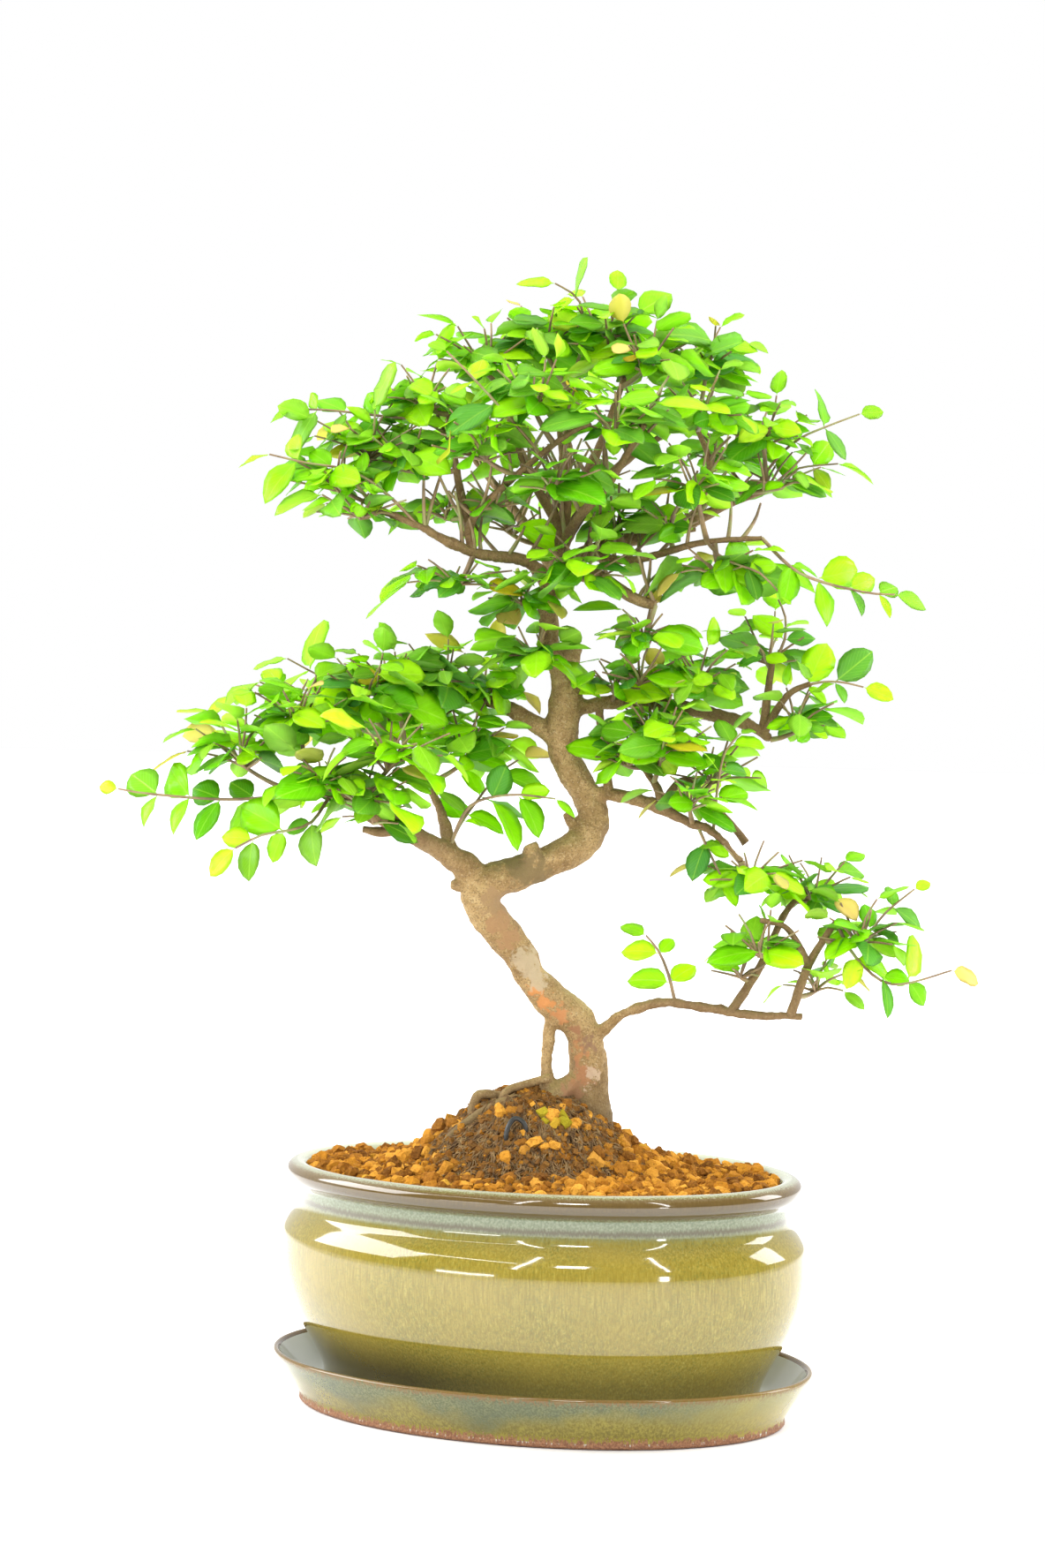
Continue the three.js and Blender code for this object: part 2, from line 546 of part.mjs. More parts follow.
// A shoot's leaves: in pairs along it, with one more at its tip, each with its place on the shoot
function shootPlan(path, centre, random, spacing = pairSpacing, face = null) {
  const outward = path[path.length - 1].clone().sub(centre).normalize();
  const length = lengthOf(path);
  const count = Math.max(1, Math.round((0.75 * length) / spacing));
  const leaf = (side) => {
    const spread = 0.9 + 0.5 * random();
    const lift = 0.5 * random() - 0.3;
    const light = new THREE.Vector3(random() - 0.5, random() - 0.5, random() + 0.35);
    light.addScaledVector(outward, sunward);
    return { side, spread, lift, light, size: THREE.MathUtils.lerp(...leafLength, random()) };
  };
  let top = face ?? new THREE.Vector3(0.4 * outward.x, 0.4 * outward.y, 1);
  const ringHere = (distance) => {
    const ring = ringAt(path, length, distance, top);
    top = ring.up;
    return ring;
  };
  const root = ringHere(0);
  const pairs = [];
  for (let i = 0; i < count; i += 1) {
    const distance = 0.26 * length + i * spacing + 1.5 * random();
    if (distance > length - 4 * leafBase) break;
    pairs.push({ distance, ring: ringHere(distance), leaves: [leaf(1), leaf(-1)] });
  }
  return { path, length, root, pairs, end: ringHere(length), tip: leaf(0) };
}

// The blade's edge from its near side over the tip to its far side, and its crest, grown if asked
function bladePoints({ side, spread, lift, light, size }, { centre, along, aside }, grow = 0) {
  const direction = along.clone().addScaledVector(aside, side * spread);
  direction.z += lift;
  direction.normalize();
  const level = side ? along.clone() : aside.clone().negate();
  level.addScaledVector(direction, -level.dot(direction)).normalize();
  const face = direction.clone().cross(level).multiplyScalar(side || 1);
  const tilt = THREE.MathUtils.clamp(Math.atan2(-light.dot(level), light.dot(face)), -faceTilt, faceTilt);
  const across = level.clone().multiplyScalar(Math.cos(tilt)).addScaledVector(face, Math.sin(tilt));
  const up = face.multiplyScalar(Math.cos(tilt)).addScaledVector(level, -Math.sin(tilt));
  const spot = (share, width, rise) => centre.clone()
    .addScaledVector(direction, size * share + 2 * grow * (share - 0.5))
    .addScaledVector(across, size * leafWidth * width + 3 * grow * Math.sign(width))
    .addScaledVector(up, rise - size * leafDroop * share * share);
  const edge = leafEdge.map(([share, width]) => spot(share, width, -grow));
  return { edge, crest: spot(0.5, 0, leafThickness + grow), foot: spot(0.12, 0, -grow) };
}

const flipped = (triangles) => triangles.map(([one, two, three]) => [one, three, two]);

// The blade by itself, a little larger all round, to find out whether it has room
function roomyBlade(leaf, ring) {
  const { edge, crest, foot } = bladePoints(leaf, ring, barkGap);
  const points = [foot, ...edge, crest].map((point) => point.toArray());
  const above = [0, 1, 2, 3, 4, 5].map((j) => [6, j, (j + 1) % 6]);
  const triangles = [...above, [0, 5, 1], [1, 5, 4], [1, 4, 2], [2, 4, 3]];
  return solidFrom(points, leaf.side < 0 ? flipped(triangles) : triangles);
}

// A shoot and its leaves in one skin, from the stem's first points where it continues a stem: a leaf
// opens out of the wall between two rings
function leafyShoot({ path, length, root, pairs, end, tip }, kept, stem, rootRadius) {
  const points = [];
  const triangles = [];
  const add = (corners) => corners.map((corner) => points.push(corner.toArray()) - 1);
  const wall = (near, far, j, k) => triangles.push([near[j], near[k], far[k]], [near[j], far[k], far[j]]);
  const joinTo = (ids) => {
    if (last) for (const [j, k] of [[0, 1], [1, 2], [2, 0]]) wall(last, ids, j, k);
    last = ids;
  };
  const unfold = (leaf, ring) => {
    const { edge, crest } = bladePoints(leaf, ring);
    const [low, high, point, farHigh, farSide, peak] = add([...edge, crest]);
    const blade = [
      [low, farSide, farHigh], [low, farHigh, high], [high, farHigh, point],
      [peak, low, high], [peak, high, point], [peak, point, farHigh], [peak, farHigh, farSide],
    ];
    return { low, farSide, peak, blade };
  };
  const sideLeaf = (leaf, ring, [nearTop, nearLow, farLow, farTop]) => {
    const { low, farSide, peak, blade } = unfold(leaf, ring);
    blade.push(
      [farLow, farTop, farSide], [nearLow, farLow, farSide], [nearLow, farSide, low],
      [nearTop, nearLow, low],
      [peak, nearTop, low], [peak, farSide, farTop], [peak, farTop, nearTop],
    );
    triangles.push(...(leaf.side > 0 ? blade : flipped(blade)));
  };
  let last = null;
  let top = root.up;
  const stemRings = stem.map((point, i) => {
    const along = (stem[i + 1] ?? path[0]).clone().sub(stem[i - 1] ?? point).normalize();
    return { point, along, radius: THREE.MathUtils.lerp(stemRadius, shootRadius, i / stem.length) };
  });
  const rings = stemRings.reverse().map(({ point, along, radius }) => {
    const ring = ringRound(point, along, top, radius);
    top = ring.up;
    return ring;
  });
  for (const ring of rings.reverse()) joinTo(add(ring.corners));
  const arrival = stem.length ? root.centre.clone().sub(stem[stem.length - 1]).normalize() : root.along;
  const bend = root.along.clone().add(arrival).normalize();
  joinTo(add(ringRound(root.centre, bend, root.up, rootRadius).corners));
  triangles.push([0, 2, 1]);
  for (const { distance, ring, leaves: [one, other] } of pairs) {
    if (!kept.has(one) && !kept.has(other)) continue;
    joinTo(add(ringAt(path, length, distance - leafBase, ring.up).corners));
    const near = last;
    last = add(ringAt(path, length, distance + leafBase, ring.up).corners);
    wall(near, last, 1, 2);
    if (kept.has(one)) sideLeaf(one, ring, [near[0], near[1], last[1], last[0]]);
    else wall(near, last, 0, 1);
    if (kept.has(other)) sideLeaf(other, ring, [near[0], near[2], last[2], last[0]]);
    else wall(near, last, 2, 0);
  }
  joinTo(add(end.corners));
  const [over, right, left] = last;
  if (kept.has(tip)) {
    const { low, farSide, peak, blade } = unfold(tip, end);
    blade.push([right, left, farSide], [right, farSide, low], [peak, left, over], [peak, over, right]);
    triangles.push(...blade, [peak, right, low], [peak, farSide, left]);
  } else triangles.push([over, right, left]);
  return solidFrom(points, triangles);
}

const withRadius = (path, start, end) => path.map((point, i) => [
  ...point.toArray(), THREE.MathUtils.lerp(start, end, i / (path.length - 1)),
]);

function boxesMeet(one, other) {
  return [0, 1, 2].every((i) => one.min[i] <= other.max[i] && other.min[i] <= one.max[i]);
}

function hitsAny(solid, others) {
  const box = solid.boundingBox();
  return others.some((other) => boxesMeet(box, other.box) && !solid.intersect(other.solid).isEmpty());
}

const boxed = (solid) => ({ solid, box: solid.boundingBox() });

// A plan of every spray: its stem and its shoots
function sprayPlans() {
  const plans = pads.map(([name, middle, half], index) => {
    const stem = padStem(middle, half);
    const centre = new THREE.Vector3(middle[0], middle[1], middle[2] - half[2]);
    const shoots = Array.from({ length: shootsInPad }, (_, i) => {
      const random = randomSeries(100 * index + i + 1);
      return shootPlan(padShoot(middle, half, stem, i, random), centre, random);
    });
    const order = shoots.map((_, i) => shoots[(i * shootStep + 5 * index) % shootsInPad]);
    return { name, stem, wood: withRadius(stem, stemRadius, shootTip), shoots: order };
  });
  for (const [index, [name, route]] of longShoots.entries()) {
    const path = route.map((point) => new THREE.Vector3(...point));
    const centre = path[1].clone().add(new THREE.Vector3(0, 30, -15));
    const face = new THREE.Vector3(...longShootFace);
    const shoot = shootPlan(path, centre, randomSeries(9000 + index), longShootSpacing, face);
    plans.push({ name, stem: [], wood: withRadius(path, shootRadius, shootTip), shoots: [], shoot });
  }
  return plans;
}

function bendOf(stem, { path }) {
  return stem[3].clone().sub(stem[2]).angleTo(path[1].clone().sub(path[0]));
}

// The stems come first, then a few shoots on each, and then the leaves that find room. A shoot that
// starts near the end of its stem and doesn't bend sharply from it continues it.
function sprayMeshes(clearTrunk) {
  const plans = sprayPlans();
  const trunkBox = boxed(clearTrunk);
  const woods = [];
  for (const plan of plans) {
    plan.clear = boxed(tube(plan.wood, clearSides, twigRoom));
    const near = woods.filter((wood) => boxesMeet(plan.clear.box, wood.box));
    plan.cutters = [clearTrunk, ...near.map((wood) => wood.solid)];
    woods.push(plan.clear);
  }
  for (const plan of plans) {
    const own = [plan.clear];
    plan.leafy = plan.shoot ? [{ ...plan.shoot, clear: plan.clear }] : [];
    const keepIfClear = (shoot) => {
      const clear = boxed(tube(withRadius(shoot.path, shootRadius, shootTip), clearSides, twigRoom));
      if (hitsAny(clear.solid, [trunkBox, ...woods.filter((wood) => !own.includes(wood))])) return false;
      own.push(clear);
      woods.push(clear);
      plan.leafy.push({ ...shoot, clear });
      return true;
    };
    if (plan.shoot) continue;
    const startOf = ({ path }) => path[0].distanceTo(plan.stem[2]);
    const straight = plan.shoots.filter((shoot) => bendOf(plan.stem, shoot) < sharpestBend);
    straight.sort((one, other) => startOf(other) - startOf(one));
    const lead = straight.find(keepIfClear);
    const reach = lead ? startOf(lead) - leafBase : Infinity;
    const rest = plan.shoots.filter((shoot) => shoot !== lead && startOf(shoot) < reach);
    plan.continues = Boolean(lead);
    for (const shoot of rest) if (plan.leafy.length < shootsMade) keepIfClear(shoot);
  }
  const placed = [];
  return plans.map((plan) => {
    const own = [];
    const kept = new Set();
    for (const { clear, pairs, end, tip } of plan.leafy) {
      const others = woods.filter((wood) => wood !== clear);
      const inPairs = pairs.flatMap(({ ring, leaves }) => leaves.map((leaf) => [leaf, ring]));
      const spots = [[tip, end], ...inPairs];
      for (const [leaf, ring] of spots) {
        const roomy = boxed(roomyBlade(leaf, ring));
        if (hitsAny(roomy.solid, [trunkBox, ...others, ...placed, ...own])) continue;
        own.push(roomy);
        kept.add(leaf);
      }
    }
    placed.push(...own);
    const leads = plan.shoot || plan.continues;
    const rest = plan.leafy.slice(leads ? 1 : 0);
    const lead = leads && leafyShoot(plan.leafy[0], kept, plan.stem.slice(0, 3), shootRadius);
    const bare = lead || tube(plan.wood, 3);
    const wood = largestBody(wasm.Manifold.difference([bare, ...plan.cutters]));
    const fused = sunkRadii.map((radius) => {
      const others = rest.map((shoot) => leafyShoot(shoot, kept, [], radius));
      return largestBody(wasm.Manifold.union([wood, ...others]));
    });
    return [plan.name, fused.find(hasNoCloseCorners) ?? fused[0]];
  });
}

// Finishes

const finish = (color, roughness) => new THREE.MeshStandardMaterial({ color, roughness, metalness: 0 });
const glaze = finish(0x8f8a3c, 0.14);
const celadon = finish(0x9fae94, 0.16);
const akadama = finish(0xa8642a, 0.95);
const darkSoil = finish(0x4a3320, 0.97);
const bark = finish(0x8a7355, 0.8);
const foliage = finish(0x6fb52c, 0.4);
const plastic = finish(0x1d1d1f, 0.5);

function place(parent, name, geometry, material, position = [0, 0, 0]) {
  const mesh = new THREE.Mesh(geometry, material);
  mesh.name = name;
  mesh.position.set(...position);
  parent.add(mesh);
}

const bonsai = new THREE.Group();
const meshHeight = potFloor + seatGap + meshThickness / 2;
place(bonsai, 'saucer', geometryOf(traySolid()), celadon);
place(bonsai, 'pot', geometryOf(potSolid()), glaze);
place(bonsai, 'drainage_mesh_left', geometryOf(drainageMeshSolid()), plastic, [-holeOffset, 0, meshHeight]);
place(bonsai, 'drainage_mesh_right', geometryOf(drainageMeshSolid()), plastic, [holeOffset, 0, meshHeight]);

// The plant stands in the pot with its front turned from the pot's long side
const plant = new THREE.Group();
plant.rotation.z = frontTurn;
bonsai.add(plant);
const trunk = largestBody(trunkSolid());
const clearTrunk = trunkSolid(barkGap);
const wire = wireSolid();
const clearWire = wireSolid(seatGap);
const rootBall = largestBody(rootBallSolid(0, 0).subtract(clearTrunk).subtract(clearWire));
const clearWireTurned = turnedSolid(clearWire);
const clearTrunkTurned = turnedSolid(clearTrunk);
const soil = largestBody(soilSolid().subtract(clearTrunkTurned).subtract(clearWireTurned));
place(bonsai, 'soil_bed', geometryOf(soil), akadama);
place(plant, 'root_ball', geometryOf(rootBall), darkSoil);
place(plant, 'tie_wire', geometryOf(wire), plastic);
place(plant, 'trunk', geometryOf(trunk), bark);
for (const [name, solid] of sprayMeshes(clearTrunk)) place(plant, name, geometryOf(solid), foliage);

export default bonsai;
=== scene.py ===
import math
import bpy
import numpy as np
from mathutils import Matrix, Vector


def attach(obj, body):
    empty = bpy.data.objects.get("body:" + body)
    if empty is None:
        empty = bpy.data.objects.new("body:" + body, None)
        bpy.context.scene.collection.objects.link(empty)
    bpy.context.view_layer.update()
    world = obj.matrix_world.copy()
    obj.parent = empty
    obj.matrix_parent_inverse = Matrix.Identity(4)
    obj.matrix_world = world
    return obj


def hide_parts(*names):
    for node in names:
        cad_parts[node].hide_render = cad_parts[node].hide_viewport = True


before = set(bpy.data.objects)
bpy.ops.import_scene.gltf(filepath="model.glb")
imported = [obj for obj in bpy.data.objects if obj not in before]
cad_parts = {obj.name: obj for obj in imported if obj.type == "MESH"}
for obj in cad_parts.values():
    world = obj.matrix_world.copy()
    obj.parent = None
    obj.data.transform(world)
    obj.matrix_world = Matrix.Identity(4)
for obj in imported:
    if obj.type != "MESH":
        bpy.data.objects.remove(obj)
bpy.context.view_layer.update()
bpy.ops.object.select_all(action="DESELECT")
print("frame loaded")

mm = 0.001
frontTurn = math.radians(24)  # the tree's front against the pot's long side
frontMatrix = Matrix.Rotation(frontTurn, 4, "Z") @ Matrix.Scale(mm, 4)


# Camera, as seen from the tree's front in mm
cameraValues = {
    "place": (-9, -1498.8, 313.6), "target": (-9, 0, 253.6), "roll": 0.010, "lens": 85.44,
    "sensor": 36, "clip": (0.05, 60),
}


def makeCamera():
    place = frontMatrix @ Vector(cameraValues["place"])
    ahead = (frontMatrix @ Vector(cameraValues["target"]) - place).normalized()
    side = ahead.cross(Vector((0, 0, 1))).normalized()
    up = side.cross(ahead)
    turn = cameraValues["roll"]
    side, up = side * math.cos(turn) + up * math.sin(turn), up * math.cos(turn) - side * math.sin(turn)
    bpy.ops.object.camera_add(location=place)
    camera = bpy.context.object
    camera.matrix_world = Matrix.Translation(place) @ Matrix((side, up, -ahead)).transposed().to_4x4()
    camera.data.sensor_width = cameraValues["sensor"]
    camera.data.lens = cameraValues["lens"]
    camera.data.clip_start, camera.data.clip_end = cameraValues["clip"]
    bpy.context.scene.camera = camera


# Studio: a pale floor, a white surround and large soft lights
studioValues = {
    "floorSize": 14, "floorDrop": 0.3, "floorTone": 0.93, "floorRoughness": 0.6, "aim": (0, 0, 220),
    "surround": 1.0, "darkSide": 0.05, "ceiling": 0.3, "backEdge": (-0.1, 0.25), "ceilingEdge": (0.72, 0.9),
    "fill": (0.95, 2.4), "fillFrom": (0.6, 0.15, 0.75),
    "lights": [  # name, place from the tree's front in mm, size in m, watts
        ("topLight", (0, 100, 1500), (1.5, 1.1), 20),
        ("leftBox", (-1340, 60, 770), (1.15, 0.75), 25),
        ("rightBox", (1440, 210, 690), (0.6, 0.8), 13),
        ("frontBox", (-350, -1500, 1150), (0.3, 0.3), 9),
    ],
    "glints": [  # lamps that only the glaze and the leaves mirror
        ("longStrip", (-905, -680, 1045), (0.8, 0.03), 1.6),
        ("neckStrip", (-1100, -1080, 90), (0.5, 0.04), 1.2),
        ("leftStrip", (-400, -700, 640), (0.025, 0.75), 1.4),
        ("rightStrip", (330, -700, 640), (0.025, 0.75), 1.4),
        ("lowSpot", (608, -1460, 120), (0.11, 0.11), 1.0),
    ],
}


def makeFloor():
    values = studioValues
    bpy.ops.mesh.primitive_plane_add(size=values["floorSize"], location=(0, 0, -values["floorDrop"] * mm))
    floor = bpy.context.object
    floor.name = "floor"
    look = {"Base Color": grey(values["floorTone"]), "Roughness": values["floorRoughness"]}
    floor.data.materials.append(newMaterial("paleFloor", look)[0])


def makeLamps():
    lamps = [(*lamp, True) for lamp in studioValues["lights"]]
    lamps += [(*lamp, False) for lamp in studioValues["glints"]]
    for name, place, (width, height), watts, lights in lamps:
        bpy.ops.object.light_add(type="AREA", location=frontMatrix @ Vector(place))
        light = bpy.context.object
        light.name = name
        light.data.shape = "RECTANGLE"
        light.data.size, light.data.size_y = width, height
        light.data.energy = watts
        light.visible_diffuse = lights
        light.visible_camera = False
        light.visible_glossy = name != "topLight"
        aim = frontMatrix @ Vector(studioValues["aim"]) - light.location
        light.rotation_euler = aim.to_track_quat("-Z", "Y").to_euler()


def makeSurround():
    # what is mirrored is dark towards the room's front and white at its back and ceiling
    values = studioValues
    world = bpy.data.worlds.new("studio")
    bpy.context.scene.world = world
    world.use_nodes = True
    tree = world.node_tree
    tree.nodes.clear()
    direction = addNode(tree, "ShaderNodeTexCoord").outputs["Generated"]

    def towards(vector):
        way = (frontMatrix.to_3x3() @ Vector(vector)).normalized()
        return vectorMath(tree, "DOT_PRODUCT", direction, way)

    back = spread(tree, towards((0, 1, 0)), *values["backEdge"])
    top = spread(tree, xyz(tree, direction)["Z"], *values["ceilingEdge"], 0, values["ceiling"])
    mirrored = spread(tree, blendMath(tree, "MAXIMUM", back, top), 0, 1, values["darkSide"], 1)
    fill = spread(tree, towards(values["fillFrom"]), -1, 1, *values["fill"])
    path = addNode(tree, "ShaderNodeLightPath").outputs
    seen = {0: path["Is Camera Ray"], 2: fill, 3: values["surround"]}
    soft = addNode(tree, "ShaderNodeMix", seen).outputs[0]
    strength = addNode(tree, "ShaderNodeMix", {0: path["Is Glossy Ray"], 2: soft, 3: mirrored}).outputs[0]
    glow = addNode(tree, "ShaderNodeBackground", {"Color": grey(1), "Strength": strength})
    addNode(tree, "ShaderNodeOutputWorld", {"Surface": glow.outputs[0]}, is_active_output=True)
    bpy.context.scene.view_settings.view_transform = "Standard"


# Node helpers
def addNode(tree, kind, values=None, **settings):
    node = tree.nodes.new(kind)
    for key, value in settings.items():
        setattr(node, key, value)
    for key, value in (values or {}).items():
        if isinstance(value, bpy.types.NodeSocket):
            tree.links.new(value, node.inputs[key])
        else:
            node.inputs[key].default_value = value
    return node


def newMaterial(name, values=None):
    material = bpy.data.materials.new(name)
    material.use_nodes = True
    tree = material.node_tree
    shader = tree.nodes["Principled BSDF"]
    for key, value in (values or {}).items():
        shader.inputs[key].default_value = value
    return material, tree, shader


def feed(tree, node, sockets):
    for key, value in sockets.items():
        tree.links.new(value, node.inputs[key])


def grey(value):
    return (value, value, value, 1)


def addRamp(tree, factor, stops):
    node = addNode(tree, "ShaderNodeValToRGB", {0: factor})
    ramp = node.color_ramp
    while len(ramp.elements) < len(stops):
        ramp.elements.new(0.5)
    for element, (position, colour) in zip(ramp.elements, stops):
        element.position = position
        element.color = (*colour[:3], 1)
    return node.outputs["Color"]


def addMask(tree, factor, stops):
    return addRamp(tree, factor, [(position, grey(value)) for position, value in stops])


def mixColour(tree, factor, one, other):
    node = addNode(tree, "ShaderNodeMix", data_type="RGBA", clamp_factor=True)
    for index, value in ((0, factor), (6, one), (7, other)):
        if isinstance(value, bpy.types.NodeSocket):
            tree.links.new(value, node.inputs[index])
        else:
            node.inputs[index].default_value = (*value, 1) if index else value
    return node.outputs[2]


def objectPlace(tree):
    return addNode(tree, "ShaderNodeTexCoord").outputs["Object"]


def xyz(tree, vector):
    return addNode(tree, "ShaderNodeSeparateXYZ", {0: vector}).outputs


def attributeOf(tree, name):
    return addNode(tree, "ShaderNodeAttribute", attribute_name=name).outputs


def addNoise(tree, place, size, detail=3, roughness=0.55):
    # size is the pattern's own, in mm
    values = {"Vector": place, "Scale": 1 / mm / size, "Detail": detail, "Roughness": roughness}
    return addNode(tree, "ShaderNodeTexNoise", values).outputs["Fac"]


def addBump(tree, height, distance, strength, **settings):
    values = {"Height": height, "Distance": distance, "Strength": strength}
    return addNode(tree, "ShaderNodeBump", values, **settings).outputs[0]


def spread(tree, value, low, high, newLow=0.0, newHigh=1.0):
    return addNode(tree, "ShaderNodeMapRange", {0: value, 1: low, 2: high, 3: newLow, 4: newHigh}).outputs[0]


def blendMath(tree, operation, one, other=0.0):
    return addNode(tree, "ShaderNodeMath", {0: one, 1: other}, operation=operation).outputs[0]


def vectorMath(tree, operation, one, other):
    return addNode(tree, "ShaderNodeVectorMath", {0: one, 1: other}, operation=operation).outputs["Value"]


def times(tree, one, other):
    return blendMath(tree, "MULTIPLY", one, other)


def newGroup(name, inputs, outputs):
    group = bpy.data.node_groups.new(name, "ShaderNodeTree")
    for key, default in inputs.items():
        socket = group.interface.new_socket(key, in_out="INPUT", socket_type="NodeSocketFloat")
        socket.default_value = default
    for key in outputs:
        kind = "NodeSocketVector" if key == "Normal" else "NodeSocketFloat"
        group.interface.new_socket(key, in_out="OUTPUT", socket_type=kind)
    return group, group.nodes.new("NodeGroupInput").outputs, group.nodes.new("NodeGroupOutput")


def useGroup(tree, name, values):
    return addNode(tree, "ShaderNodeGroup", values, node_tree=bpy.data.node_groups[name]).outputs


# Relief of fine grain, shared by bark, soil, twigs and plastic; sizes and heights in mm
grainGroupValues = {"Detail": 4.0, "Roughness": 0.65}


def makeGrainGroup():
    group, entry, result = newGroup("fineGrain", {"Size": 1.0, "Height": 0.2}, ["Mask", "Normal"])
    scale = blendMath(group, "DIVIDE", 1 / mm, entry["Size"])
    values = {"Vector": objectPlace(group), "Scale": scale, **grainGroupValues}
    grain = addNode(group, "ShaderNodeTexNoise", values).outputs["Fac"]
    height = times(group, grain, entry["Height"])
    feed(group, result, {"Mask": grain, "Normal": addBump(group, height, mm, 1.0)})


def addGrain(tree, size, height):
    return useGroup(tree, "fineGrain", {"Size": size, "Height": height})


# Mottled glaze: drips that run down, fine specks and wide clouds, shared by the pot and the tray
glazeGroupValues = {
    "drips": {"Detail": 4.0, "Roughness": 0.6, "Distortion": 0.4},
    "specks": {"Detail": 2.0},
    "clouds": {"Detail": 3.0, "Scale": 28.0},
}


def makeGlazeGroup():
    inputs = {"Drip Width": 2.0, "Drip Length": 25.0, "Speck Size": 1.2}
    group, entry, result = newGroup("glazeFlow", inputs, ["Drips", "Specks", "Clouds"])
    place = objectPlace(group)
    x, y, z = xyz(group, place)
    slow = times(group, z, blendMath(group, "DIVIDE", entry["Drip Width"], entry["Drip Length"]))
    tall = addNode(group, "ShaderNodeCombineXYZ", {0: x, 1: y, 2: slow}).outputs[0]
    dripScale = blendMath(group, "DIVIDE", 1 / mm, entry["Drip Width"])
    speckScale = blendMath(group, "DIVIDE", 1 / mm, entry["Speck Size"])
    patterns = {
        "Drips": {"Vector": tall, "Scale": dripScale, **glazeGroupValues["drips"]},
        "Specks": {"Vector": place, "Scale": speckScale, **glazeGroupValues["specks"]},
        "Clouds": {"Vector": place, **glazeGroupValues["clouds"]},
    }
    for name, values in patterns.items():
        feed(group, result, {name: addNode(group, "ShaderNodeTexNoise", values).outputs["Fac"]})


def addGlaze(tree, width, length, speck):
    return useGroup(tree, "glazeFlow", {"Drip Width": width, "Drip Length": length, "Speck Size": speck})


# Small steps that every piece needs
def enterEdit():
    bpy.ops.object.mode_set(mode="EDIT")
    bpy.ops.mesh.select_all(action="SELECT")


def leaveEdit():
    bpy.ops.object.mode_set(mode="OBJECT")


def selectOnly(piece):
    bpy.ops.object.select_all(action="DESELECT")
    piece.select_set(True)
    bpy.context.view_layer.objects.active = piece


def applyModifier(piece, kind, **settings):
    modifier = piece.modifiers.new(kind.lower(), kind)
    for key, value in settings.items():
        setattr(modifier, key, value)
    bpy.context.view_layer.objects.active = piece
    bpy.ops.object.modifier_apply(modifier=modifier.name)


def finishPiece(piece, name, material, nodes=()):
    piece.name = name
    piece.data.name = name
    piece.data.materials.clear()
    piece.data.materials.append(material)
    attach(piece, "root")
    if nodes:
        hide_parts(*nodes)
    bpy.ops.object.select_all(action="DESELECT")


def meshPiece(points, faces, smooth=True):
    mesh = bpy.data.meshes.new("piece")
    mesh.from_pydata(points, [], faces)
    mesh.polygons.foreach_set("use_smooth", [smooth] * len(mesh.polygons))
    mesh.update()
    piece = bpy.data.objects.new("piece", mesh)
    bpy.context.collection.objects.link(piece)
    return piece


def smoothLine(points, piecesBetween):
    # a smooth line through the points, cut into as many pieces between two of them as the rule gives
    ends = [points[0], *points, points[-1]]
    line = []
    for i in range(1, len(ends) - 2):
        before, start, end, after = (np.array(p, float) for p in ends[i - 1:i + 3])
        pieces = piecesBetween(start, end)
        for t in (k / pieces for k in range(pieces)):
            square = (2 * before - 5 * start + 4 * end - after) * t ** 2
            cube = (3 * start - before - 3 * end + after) * t ** 3
            line.append(0.5 * (2 * start + (end - before) * t + square + cube))
    return line + [np.array(points[-1], float)]


# Oval pieces of glazed clay: a ring is drawn out step by step along the section, and both ends are closed
def sectionCurve(points, pieces):
    return [tuple(point) for point in smoothLine(points, lambda start, end: pieces)]


def ovalPiece(section, halfLength, halfWidth, sides):
    # section: height and how far out from the rim's oval in mm, from the underside's middle to the inside
    height, out = section[0]
    bpy.ops.mesh.primitive_circle_add(vertices=sides, radius=1, fill_type="NGON",
                                      location=(0, 0, height * mm))
    piece = bpy.context.object
    enterEdit()
    size = ((halfLength + out) * mm, (halfWidth + out) * mm)
    bpy.ops.transform.resize(value=(*size, 1), center_override=(0, 0, 0))
    for nextHeight, out in section[1:]:
        nextSize = ((halfLength + out) * mm, (halfWidth + out) * mm)
        bpy.ops.mesh.extrude_region_move(TRANSFORM_OT_translate={"value": (0, 0, (nextHeight - height) * mm)})
        bpy.ops.transform.resize(value=(nextSize[0] / size[0], nextSize[1] / size[1], 1),
                                 center_override=(0, 0, nextHeight * mm))
        height, size = nextHeight, nextSize
    bpy.ops.mesh.select_all(action="SELECT")
    bpy.ops.mesh.normals_make_consistent(inside=False)
    leaveEdit()
    return piece


def finishOval(piece, values, name, material, node):
    selectOnly(piece)
    bpy.ops.object.transform_apply(location=True, rotation=True, scale=True)
    bpy.ops.object.shade_smooth_by_angle(angle=math.radians(values["smoothAngle"]))
    # 1 on the floor and on the faces that look at the middle, where the inside walls are painted paler as a
    # painted glare of the lamps
    inner = piece.data.attributes.new("innerSide", "FLOAT", "FACE")
    for polygon, value in zip(piece.data.polygons, inner.data):
        x, y, z = polygon.center
        inward = polygon.normal.x * x + polygon.normal.y * y < 0 or z < values["floor"] * mm
        value.value = 1.0 if inward and polygon.normal.z > 0 and z < values["innerTop"] * mm else 0.0
    finishPiece(piece, name, material, [node])


